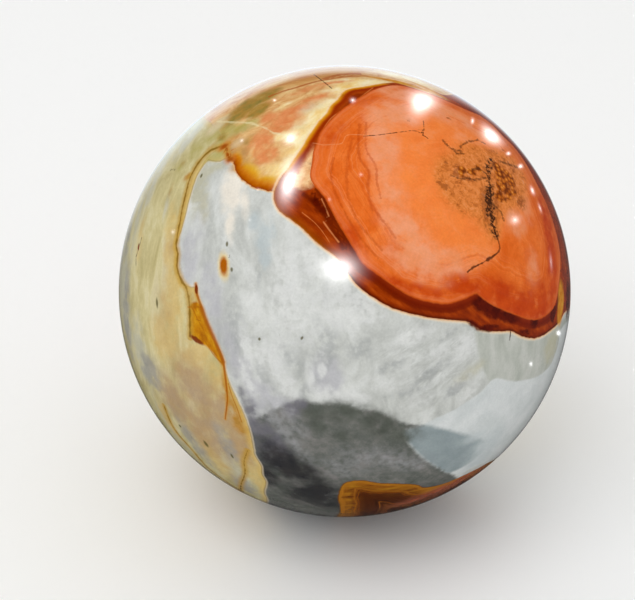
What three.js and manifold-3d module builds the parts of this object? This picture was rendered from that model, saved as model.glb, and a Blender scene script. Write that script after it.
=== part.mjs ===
// A polished sphere of polychrome jasper: one solid stone, in millimetres, with +Z up.
// The origin is the middle of the small flat that the sphere rests on.
import * as THREE from "three";
import { mergeVertices } from "three/addons/utils/BufferGeometryUtils.js";
import Module from "manifold-3d";

// Driving dimensions
const BALL_DIAMETER = 120;
const REST_FLAT_DIAMETER = 14;

// Each edge of the icosahedron is split into this many pieces. An even number puts a corner
// on each axis, so the faceted ball measures its full diameter along X, Y and Z.
const EDGE_PIECES = 16;

// The finish of a polished stone: a dielectric with almost no roughness
const JASPER_COLOUR = 0xb3aa9c;
const POLISH_ROUGHNESS = 0.05;

const ballRadius = BALL_DIAMETER / 2;
const flatRadius = REST_FLAT_DIAMETER / 2;
// How high the ball's centre stands above the flat
const centreHeight = Math.sqrt(ballRadius ** 2 - flatRadius ** 2);

const wasm = await Module();
wasm.setup();

// A closed geometry as a solid, with the vertices that its faces share merged
function solidFrom(geometry) {
  const bare = geometry.clone();
  bare.deleteAttribute("normal");
  bare.deleteAttribute("uv");
  const merged = mergeVertices(bare);
  return new wasm.Manifold(
    new wasm.Mesh({
      numProp: 3,
      vertProperties: merged.attributes.position.array,
      triVerts: new Uint32Array(merged.index.array),
    }),
  );
}

// A solid as a geometry that a mesh can carry
function geometryFrom(solid) {
  const { vertProperties, triVerts } = solid.getMesh();
  const geometry = new THREE.BufferGeometry();
  geometry.setAttribute("position", new THREE.BufferAttribute(vertProperties, 3));
  geometry.setIndex(new THREE.BufferAttribute(triVerts, 1));
  geometry.computeVertexNormals();
  return geometry;
}

// The round ball, centred over the origin, before its flat is ground
function roundBall() {
  const ball = new THREE.IcosahedronGeometry(ballRadius, EDGE_PIECES - 1);
  return ball.translate(0, 0, centreHeight);
}

// All that lies under the resting plane z = 0
function spaceUnderTheFlat() {
  const block = new THREE.BoxGeometry(BALL_DIAMETER, BALL_DIAMETER, BALL_DIAMETER);
  return block.translate(0, 0, -ballRadius);
}

const polishedJasper = new THREE.MeshStandardMaterial({
  color: JASPER_COLOUR,
  roughness: POLISH_ROUGHNESS,
  metalness: 0,
});

const restingBall = solidFrom(roundBall()).subtract(solidFrom(spaceUnderTheFlat()));
const jasperSphere = new THREE.Mesh(geometryFrom(restingBall), polishedJasper);
jasperSphere.name = "jasper_sphere";

const object = new THREE.Group();
object.add(jasperSphere);

export default object;
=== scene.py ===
"""The dressed model of a polished sphere of polychrome jasper, on a plain studio floor.

The stone is one ball. Its markings are edges, veins and specks that were read from the photograph,
and made up where the photograph hides them. Each family of markings becomes an attribute of the
mesh, mostly a distance in millimetres, and the material paints the kinds of stone, their rims and
their veins by those distances.
"""

import logging
import math
from dataclasses import dataclass
from enum import Enum, StrEnum, auto

import bpy
import numpy as np
from mathutils import Matrix, Vector

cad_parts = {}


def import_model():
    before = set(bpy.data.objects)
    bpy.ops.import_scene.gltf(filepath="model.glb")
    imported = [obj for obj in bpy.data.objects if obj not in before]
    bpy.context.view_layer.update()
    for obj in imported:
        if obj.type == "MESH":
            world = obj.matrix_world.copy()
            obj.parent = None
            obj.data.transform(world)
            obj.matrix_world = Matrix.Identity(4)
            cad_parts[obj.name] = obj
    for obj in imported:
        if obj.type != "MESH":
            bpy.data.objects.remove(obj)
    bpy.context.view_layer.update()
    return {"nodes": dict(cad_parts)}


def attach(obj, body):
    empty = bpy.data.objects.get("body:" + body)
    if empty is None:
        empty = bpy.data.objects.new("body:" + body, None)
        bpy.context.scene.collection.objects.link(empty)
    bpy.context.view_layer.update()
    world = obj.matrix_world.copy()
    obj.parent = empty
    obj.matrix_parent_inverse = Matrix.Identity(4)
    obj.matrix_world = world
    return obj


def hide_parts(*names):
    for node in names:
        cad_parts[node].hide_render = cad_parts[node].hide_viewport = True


MM = 0.001
ON_THE_FLOOR_M = 1e-7

log = logging.getLogger("jasper")


# Places on the ball


@dataclass(frozen=True)
class Hidden:
    """A place on the side of the ball that the photograph hides.

    The bearing is measured on the picture, 0 to the right and 90 up. The polar angle is measured
    from the line to the camera, so 90 is the ball's outline and 180 the middle of its back.
    """

    bearing_deg: float
    polar_deg: float


# A visible place is the pixel of the photograph where it shows
Place = tuple[float, float] | Hidden
Line = tuple[Place, ...]


def behind(*angles_deg: tuple[float, float]) -> Line:
    """Makes a line of hidden places.

    Args:
        *angles_deg: The bearing and the polar angle of each place.

    Returns:
        The line.
    """
    return tuple(Hidden(bearing, polar) for bearing, polar in angles_deg)


@dataclass(frozen=True)
class Viewpoint:
    """Where the photograph was taken from, and where its pixels fall on the ball."""

    ball_radius_m: float
    ball_centre_m: tuple[float, float, float]
    width_px: int = 635
    height_px: int = 600
    outline_centre_px: tuple[float, float] = (344.3, 291.3)
    outline_radius_px: float = 226.0
    elevation_deg: float = 30.0
    distance_m: float = 0.5
    nearest_seen_m: float = 0.01
    sensor_mm: float = 36.0

    @property
    def axes(self) -> np.ndarray:
        """Finds the directions of the picture.

        Returns:
            Three rows: across the picture, up the picture and to the camera.
        """
        lift = math.radians(self.elevation_deg)
        return np.array([
            (1.0, 0.0, 0.0),
            (0.0, math.sin(lift), math.cos(lift)),
            (0.0, -math.cos(lift), math.sin(lift)),
        ])

    @property
    def focal_px(self) -> float:
        """The focal length in pixels that gives the ball its outline in the photograph."""
        reach = math.sqrt(self.distance_m ** 2 - self.ball_radius_m ** 2)
        return self.outline_radius_px * reach / self.ball_radius_m

    @property
    def camera_place(self) -> np.ndarray:
        """Finds the camera's place.

        Returns:
            The place, moved aside so that the ball sits off the picture's middle.
        """
        across, up, towards = self.axes
        metres_per_px = self.distance_m / self.focal_px
        aside_px = self.outline_centre_px[0] - self.width_px / 2
        down_px = self.outline_centre_px[1] - self.height_px / 2
        middle = np.array(self.ball_centre_m) + self.distance_m * towards
        return middle - across * aside_px * metres_per_px + up * down_px * metres_per_px

    def direction(self, place: Place) -> np.ndarray:
        """Finds a place on the ball.

        Args:
            place: A pixel of the photograph, or a hidden place.

        Returns:
            The unit vector from the ball's centre to the place.
        """
        across, up, towards = self.axes
        if isinstance(place, Hidden):
            bearing = math.radians(place.bearing_deg)
            polar = math.radians(place.polar_deg)
            sideways = math.cos(bearing) * across + math.sin(bearing) * up
            return math.sin(polar) * sideways + math.cos(polar) * towards
        x, y = place
        ray = across * (x - self.width_px / 2) + up * (self.height_px / 2 - y) - towards * self.focal_px
        ray /= np.linalg.norm(ray)
        start = self.camera_place - np.array(self.ball_centre_m)
        nearest = start - ray * (start @ ray)
        spare = self.ball_radius_m ** 2 - nearest @ nearest
        hit = nearest - ray * math.sqrt(max(spare, 0.0))
        return hit / np.linalg.norm(hit)

    def mirrored(self, pixel: tuple[float, float]) -> np.ndarray:
        """Finds what a highlight at a pixel comes from.

        Args:
            pixel: The pixel of the highlight.

        Returns:
            The unit vector from the ball to the light that shows at that pixel.
        """
        normal = self.direction(pixel)
        surface = np.array(self.ball_centre_m) + normal * self.ball_radius_m
        view = self.camera_place - surface
        view /= np.linalg.norm(view)
        return 2 * (normal @ view) * normal - view


# The markings


class Field(StrEnum):
    """The attributes that the mesh carries for the material, each named as its member is here."""

    EYE = auto()
    BAND = auto()
    HEART = auto()
    VUG = auto()
    WEDGE = auto()
    KHAKI = auto()
    SLIVER = auto()
    SLATE = auto()
    OCHRE = auto()
    VEIL = auto()
    UNDER_BAND = auto()
    BLUE_VEIL = auto()
    BLUE_FADE = auto()
    HIDDEN = auto()
    PALE_WISPS = auto()
    DARK_WISPS = auto()
    FEATHERS = auto()
    CREAM_STREAK = auto()
    SMOKE = auto()
    LILAC = auto()
    GREEN_GREY = auto()
    MIST = auto()
    DUSK = auto()
    DARK_SLATE = auto()
    GREEN_SLATE = auto()
    SLATE_WISPS = auto()
    EYE_SALMON = auto()
    EYE_RED = auto()
    EYE_BLAZE = auto()
    LUMPS = auto()
    SMUDGES = auto()
    BAND_DARK = auto()
    BAND_PEACH = auto()
    BAND_GOLD = auto()
    BAND_LEFT = auto()
    BAND_UPPER = auto()
    BAND_LOWER = auto()
    WEDGE_CREAM = auto()
    SALMON = auto()
    OLIVE = auto()
    WEDGE_FOOT = auto()
    WEDGE_TAN = auto()
    ARCS = auto()
    KHAKI_GREY = auto()
    KHAKI_PINK = auto()
    KHAKI_GREEN = auto()
    KHAKI_YELLOW = auto()
    KHAKI_LILAC = auto()
    KHAKI_GOLD = auto()
    DARK_CRACKS = auto()
    DENDRITES = auto()
    TWIGS = auto()
    EYE_LINES = auto()
    EYE_LINES_NEXT = auto()
    EYE_VEINS = auto()
    BAND_STRIPES = auto()
    BAND_HAIRS = auto()
    BAND_GLINTS = auto()
    PALE_VEINS = auto()
    KHAKI_VEINS = auto()
    KHAKI_BORDER = auto()
    AMBER_VEINS = auto()
    AMBER_THREADS = auto()
    ARC_LINES = auto()
    BROWN_SPECKS = auto()
    OCHRE_SPECKS = auto()
    OCHRE_RED = auto()
    OLIVE_SPECKS = auto()
    RUST_SPECKS = auto()


@dataclass(frozen=True)
class Vein:
    """A thin line in the stone, open at both ends."""

    width_mm: float
    points: Line


@dataclass(frozen=True)
class Spot:
    """An oval on the stone, by its middle, its half sizes and its turn from level."""

    place: Place
    across_mm: float
    up_mm: float
    turn_deg: float = 0.0
    strength: float = 1.0


# Edges where one kind of stone meets another, and where painted reflection and painted shade are laid in.
# A field may have several closed edges.
EDGES: dict[Field, tuple[Line, ...]] = {
    Field.EYE: (
        (
            (397, 85), (375, 89), (362, 96), (341, 110), (327, 124), (320, 133), (316, 145), (313, 152),
            (312, 163), (310, 175), (313, 184), (320, 192), (325, 198), (331, 210), (338, 223),
            (347, 238), (355, 251), (363, 264), (378, 275), (395, 287), (406, 294), (417, 299),
            (434, 303), (448, 304), (462, 300), (471, 296), (476, 293), (483, 299), (492, 305),
            (503, 310), (515, 315), (529, 319.5), (538, 319.5), (547, 315), (554, 307), (557.5, 296),
            (559, 284), (560.5, 268), (560, 252), (556, 232), (548, 208), (537, 184), (526, 163.5),
            (515, 148), (503, 136), (492, 124.5), (480, 115.5), (468, 110.5), (452, 103), (436, 96),
            (420, 90.5),
        ),
        behind(
            (83, 134), (99, 129), (117, 129), (133, 131), (145, 136), (151, 149), (141, 159),
            (124, 169), (73, 163), (66, 148), (73, 138),
        ),
    ),
    Field.BAND: (
        (
            (389, 83), (375, 85), (364, 87), (350, 89), (343, 93), (338, 100), (331, 106), (328, 113),
            (320, 121), (313, 131), (307, 140), (304, 146), (297, 156), (289, 168), (282, 176),
            (277, 185), (274, 192), (275, 203), (280, 211), (289, 218), (300, 226), (309, 235),
            (320, 245), (331, 253), (339, 260), (352, 279), (362, 289), (374, 298), (388, 306),
            (401, 311), (420, 315.5), (434, 318), (452, 320), (464, 320.6), (474, 324.5), (480, 329),
            (497.6, 331.4), (510.5, 330.8), (520, 335.5), (531.6, 338), (540, 336.5), (549.5, 331),
            (556.4, 325), (561.5, 318.5), (565.5, 311),
            *behind(
                (-3, 86), (3, 89), (9, 92), (16, 91), (24, 87), (31, 88), (38, 91.5), (46, 90),
                (53, 86), (59, 83),
            ),
            (446, 95.4), (436, 91.7), (420, 86), (404, 82.5),
        ),
        behind(
            (80, 126), (99, 122), (118, 120), (134, 121), (150, 127), (163, 141), (164, 155),
            (174, 170), (41, 169), (43, 155), (57, 142), (70, 131),
        ),
    ),
    Field.HEART: (
        (
            (372, 110), (366, 122), (365.5, 140), (366, 152), (371, 164), (374, 174), (371, 185),
            (373, 197), (378, 209), (386, 222), (395, 234), (405, 246), (418, 258), (434, 267),
            (452, 272), (470, 271), (484, 263), (494, 258), (500, 250), (498, 238), (512, 228),
            (525, 214), (530, 195), (527, 176), (517, 158), (500, 140), (480, 123), (458, 111),
            (435, 101), (412, 98), (390, 101),
        ),
        behind(
            (87, 140), (101, 137), (115, 138), (126, 143), (125, 152), (107, 159), (83, 154), (80, 145),
        ),
    ),
    Field.VUG: (
        (
            (434, 172), (440, 157), (452, 149), (468, 144), (484, 147), (500, 152), (514, 160),
            (524, 175), (527, 192), (522, 206), (508, 213), (501, 226), (497, 240), (489, 238),
            (480, 226), (466, 216), (450, 206), (440, 192),
        ),
    ),
    Field.WEDGE: (
        (
            (225, 145), (226, 153), (230, 160.5), (234, 163), (235, 170), (240, 178), (248, 185),
            (256, 188.5), (265, 190), (274, 192), (284, 188), (300, 165), (318, 135), (335, 110),
            (350, 96), (380, 90), (410, 88), (440, 97), (470, 112),
            *behind((50, 95), (56, 103), (68, 110), (84, 113), (100, 112), (114, 107), (124, 99)),
            (204, 116), (212, 124), (219, 133),
        ),
        behind(
            (79, 107), (97, 103), (117, 104), (131, 107), (147, 114), (168, 132), (182, 152),
            (211, 168), (5, 168), (26, 152), (46, 138), (62, 125), (70, 114),
        ),
    ),
    Field.KHAKI: (
        (
            (225, 145), (228, 152), (226, 158), (220, 161), (213, 160.5), (208, 160), (203, 166),
            (197, 176), (192, 190), (188, 204), (185, 217), (181, 231), (178, 239), (176, 246),
            (178, 254), (177, 265), (179, 275), (183, 283), (188, 286.5), (193, 287.5), (197, 286.5),
            (198, 296), (202, 306), (204, 314), (208, 325), (213, 338), (219, 349), (224, 361),
            (225, 369), (230.5, 385), (237.4, 400), (244.3, 415), (250, 432), (253, 446), (255, 456),
            (261, 465), (262, 474), (266, 482), (264, 492), (267, 500),
            *behind(
                (250, 90), (253, 96), (249, 102), (249, 110), (242, 118), (232, 130), (216, 138),
                (198, 141), (180, 138), (162, 133), (148, 126), (136, 116), (130, 105), (129, 95),
            ),
            (204, 116), (212, 124), (219, 133),
        ),
        behind(
            (352, 121), (7, 130), (18, 140), (4, 154), (315, 163), (274, 154), (281, 139), (298, 128),
            (315, 121), (335, 118),
        ),
    ),
    Field.SLIVER: (
        (
            (190, 304), (197, 302), (202, 306), (204, 314), (208, 325), (213, 338), (219, 349),
            (224, 362), (224, 368), (219, 362), (213, 353), (206, 346), (197, 341), (190.5, 334),
            (189.5, 318),
        ),
    ),
    # The darker lower part of the ball: partly the stone's slate grey, partly painted shade that darkens
    # the ball towards the bottom
    Field.SLATE: (
        (
            (296, 402), (306, 403), (318, 403), (337, 403), (349, 406), (360, 409), (372, 409),
            (383, 413.5), (395, 420), (404, 424), (423, 425.5), (403, 431.5), (412, 447), (421, 457),
            (433, 465.5), (444, 471), (456, 478), (458, 488),
            *behind((298, 94), (302, 108), (300, 124), (280, 138), (256, 132), (240, 116), (244, 100)),
            (252, 490), (246, 462), (244, 438), (250, 424), (264, 414), (284, 406),
        ),
    ),
    # Painted reflection: a pale patch in the lower right, laid into the stone's colour as a zone
    Field.VEIL: (
        (
            (563, 326), (558, 345), (552, 362), (545, 371), (536, 377), (523, 380.5), (509, 381),
            (497, 378), (489, 383), (481, 392), (468, 401), (452, 411), (436, 418), (420, 426),
            (406, 428), (404, 436), (412, 447), (424, 460), (440, 472), (460, 474), (480, 464),
            *behind((-42, 90), (-38, 98), (-26, 104), (-12, 102), (-6, 94)),
        ),
    ),
    Field.UNDER_BAND: (
        (
            (474, 326), (480, 331), (497, 333), (510, 332.5), (520, 337.5), (531.6, 340), (541, 338.5),
            (550, 333), (557, 327), (563, 319),
            *behind((-5, 90), (-10, 96)),
            (563, 345), (545, 376), (509, 386), (492, 384), (484, 372), (479, 358), (476, 342),
        ),
    ),
    # Painted reflection: a bluish-grey part of the pale painted reflection in the lower right
    Field.BLUE_VEIL: (
        (
            (401.5, 432), (411, 428), (424, 425), (440, 428), (455, 432), (470, 436), (484, 441),
            (482, 452), (468, 464), (452, 472), (444.6, 473), (436, 467), (424, 459), (412, 447),
        ),
    ),
    Field.OCHRE: (
        (
            (341, 487), (347, 482), (355, 480.6), (366, 480.6), (378, 483), (395, 483.5), (415, 484.5),
            (424, 487.5), (435, 486), (446, 483), (460, 477), (477, 469), (492, 461),
            *behind(
                (314, 92), (316, 97), (311, 99), (309, 105), (302, 104), (297, 109), (290, 106),
                (283, 109), (276, 104), (271, 103), (267, 98),
            ),
            (340, 511), (338, 499),
        ),
    ),
}

# Thin lines, by their look
VEINS: dict[Field, tuple[Vein, ...]] = {
    Field.DARK_CRACKS: (
        Vein(0.46, ((493, 226), (496.4, 235.4), (499, 243), (499.8, 248), (498.6, 252), (491, 257.6))),
        Vein(0.8, ((492, 257), (489.2, 258.8), (487, 260))),
        Vein(0.34, ((487, 260), (481, 263.6), (475, 266.4))),
        Vein(0.7, ((475, 266.2), (473, 267.6), (471.4, 268.6))),
        Vein(0.4, ((471.4, 268.6), (469.2, 270.6))),
        Vein(0.2, (
            (366, 136), (378, 135), (389, 133.5), (401, 132), (412, 130.5), (418, 131.4), (426, 137),
        )),
        Vein(0.2, ((423.5, 122), (424, 129), (423, 135))),
        Vein(0.24, ((314.6, 75), (322, 80.5), (330.7, 87.5))),
        Vein(0.24, ((141, 240), (139, 248), (136, 257), (136, 263))),
        Vein(0.3, ((510.5, 332.5), (510, 337.5))),
        Vein(0.3, behind((112, 146), (104, 150), (98, 156))),
        Vein(0.26, behind((20, 104), (14, 110), (16, 118), (8, 124))),
    ),
    Field.DENDRITES: (
        Vein(1.1, ((490.8, 161), (487.6, 171), (489.2, 179.4), (490, 189))),
        Vein(2.6, ((490, 186), (489.6, 194), (489.2, 202), (490.4, 210), (491.6, 216))),
        Vein(1.2, ((491.6, 214), (492.4, 224), (495.4, 233))),
    ),
    Field.TWIGS: (
        Vein(0.4, ((444.5, 142), (448, 146.5), (453, 149.5), (459, 150.5))),
        Vein(0.22, ((453, 149.5), (456, 153), (462, 153.5))),
        Vein(0.26, ((461, 146), (466, 142.5), (470, 141))),
        Vein(0.3, ((473, 141), (478, 140), (483, 142.5))),
        Vein(0.34, ((453, 176), (460, 179), (468, 178), (476, 180), (484, 178))),
        Vein(0.55, ((501, 161.5), (507, 164), (515.7, 166.5))),
        Vein(0.3, ((484, 172), (478, 168), (474, 169))),
        Vein(0.4, ((495, 206), (501, 212), (503, 218))),
    ),
    Field.EYE_LINES: (
        Vein(0.42, (
            (359.4, 126), (358.2, 147.2), (360.5, 159.9), (368.6, 170.2), (369.1, 175.9), (368, 182.8),
            (368.6, 192), (372, 208.1), (377.8, 213.8), (384.6, 223), (394, 236),
        )),
        Vein(0.3, ((333, 160), (331, 176), (335, 192), (343, 208), (350, 222), (362, 240), (376, 256))),
    ),
    Field.EYE_LINES_NEXT: (
        Vein(0.3, ((366.3, 124), (365.7, 140.4), (367, 152), (376, 166), (377, 182), (380, 196))),
        Vein(0.4, (
            (352, 140), (347.5, 160), (346.8, 185.1), (349, 200), (353.6, 212.7), (359.4, 224.2),
            (368.6, 235.6), (380, 248),
        )),
    ),
    Field.EYE_VEINS: (
        Vein(0.26, (
            (315.4, 143.4), (323.4, 145), (333, 144.2), (342.6, 143.4), (345.8, 135.4), (356, 134.6),
            (367, 135.2),
        )),
    ),
    Field.BAND_STRIPES: (
        Vein(1.15, (
            (318, 191.5), (327.2, 206.4), (335.3, 222.5), (343.3, 234), (352.5, 250), (360.5, 262.7),
        )),
        Vein(1.25, (
            (306, 196), (313.5, 201.8), (322.7, 211), (330.7, 226), (337.6, 237.4), (342, 245),
        )),
        Vein(1.6, behind((2, 74), (12, 76), (22, 77), (34, 76), (44, 77), (54, 80))),
        Vein(1.2, behind((0, 80), (10, 82), (24, 83), (38, 82), (50, 84))),
    ),
    Field.BAND_HAIRS: (
        Vein(0.22, ((304, 214), (314, 222), (322, 231), (328, 240))),
        Vein(0.26, behind((8, 84.5), (20, 85.5), (32, 85))),
        Vein(0.28, (
            (372, 88.5), (364, 94.4), (354, 102), (343.3, 109.4), (330.7, 118.5), (323.8, 128.9),
            (319.2, 140.4), (315.5, 147),
        )),
    ),
    Field.BAND_GLINTS: (
        Vein(0.3, ((322.5, 201), (325.5, 207.5), (328, 214))),
        Vein(0.34, ((325, 224), (330, 231), (337, 240))),
        Vein(0.3, behind((4, 78), (14, 79.5), (26, 80), (38, 79.5))),
    ),
    Field.PALE_VEINS: (
        Vein(0.62, ((218, 121.4), (222.6, 121.8), (237, 122.3), (249.8, 123), (257.8, 125.5))),
        Vein(0.44, (
            (257.8, 125.5), (265.8, 128.2), (273.8, 133), (285, 135), (290, 139), (294.6, 142.6),
            (308, 143),
        )),
        Vein(0.6, behind((196, 92), (192, 104), (184, 112), (178, 122), (166, 128))),
        Vein(0.5, behind((330, 106), (345, 112), (4, 112), (22, 118), (34, 128))),
    ),
    Field.KHAKI_VEINS: (
        Vein(0.75, ((225, 145.6), (219, 147), (211, 150), (205, 155), (199, 162), (194, 170))),
        Vein(0.5, (
            (194, 170), (190, 178), (187, 189), (184, 201), (181.6, 212), (180, 222), (178, 231),
        )),
        Vein(0.55, (
            (178, 231), (177, 239), (176, 246), (178, 254), (177, 265), (179, 275), (183, 283),
            (186.2, 287), (188.6, 297), (189.4, 306), (189.8, 320), (190, 334),
        )),
        Vein(0.4, ((226, 147), (226.6, 151), (228.6, 156))),
        Vein(0.3, behind(
            (213, 66), (219, 70), (226, 71), (232, 75), (239, 77), (243, 83), (244, 92), (241, 100),
        )),
        Vein(0.26, ((247, 452), (244, 462), (245, 473), (241, 485), (241, 496))),
        Vein(0.55, behind((206, 96), (204, 104), (208, 112), (204, 120), (212, 128))),
        Vein(0.45, behind((140, 98), (146, 104), (156, 106), (164, 114), (160, 122))),
        Vein(0.5, behind((340, 126), (348, 136), (334, 146), (300, 152))),
    ),
    Field.KHAKI_BORDER: (
        Vein(0.3, (
            (214, 152), (208, 157), (202, 166), (196, 177), (191.5, 191), (188, 204), (185, 217),
            (181, 231),
        )),
        Vein(0.34, ((208, 160), (213, 161), (220, 161.5), (226, 158.5))),
    ),
    Field.AMBER_VEINS: (
        Vein(0.7, ((196, 287), (196.8, 294), (199, 301), (201.6, 307))),
        Vein(1.15, ((201, 306), (205, 318), (209, 328), (213.4, 337.4))),
        Vein(1.0, ((213.4, 337.4), (218, 348), (221.6, 357), (223.6, 363))),
        Vein(0.55, ((223.6, 363), (224.6, 372), (226, 382), (227, 392))),
        Vein(0.36, ((227, 391), (227.4, 400), (226.6, 408), (225.4, 417))),
    ),
    Field.AMBER_THREADS: (
        Vein(0.5, ((190, 307), (195, 306.5), (199, 307))),
        Vein(0.3, ((193, 309), (197, 318), (202, 327), (206, 336))),
        Vein(0.26, ((203.8, 338.8), (208, 346), (213.4, 354.8), (221.4, 362.8))),
        Vein(0.3, ((229, 386), (232, 396), (237, 408), (241, 420))),
    ),
    Field.ARC_LINES: (
        Vein(0.6, (
            (272, 95.5), (284, 91), (294.6, 88), (306, 84.4), (317, 81.4), (333, 78.6), (349, 76.4),
            (365, 76),
        )),
        Vein(1.2, ((326, 78), (336, 75.4), (346, 74), (356, 73.6))),
    ),
}

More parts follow.
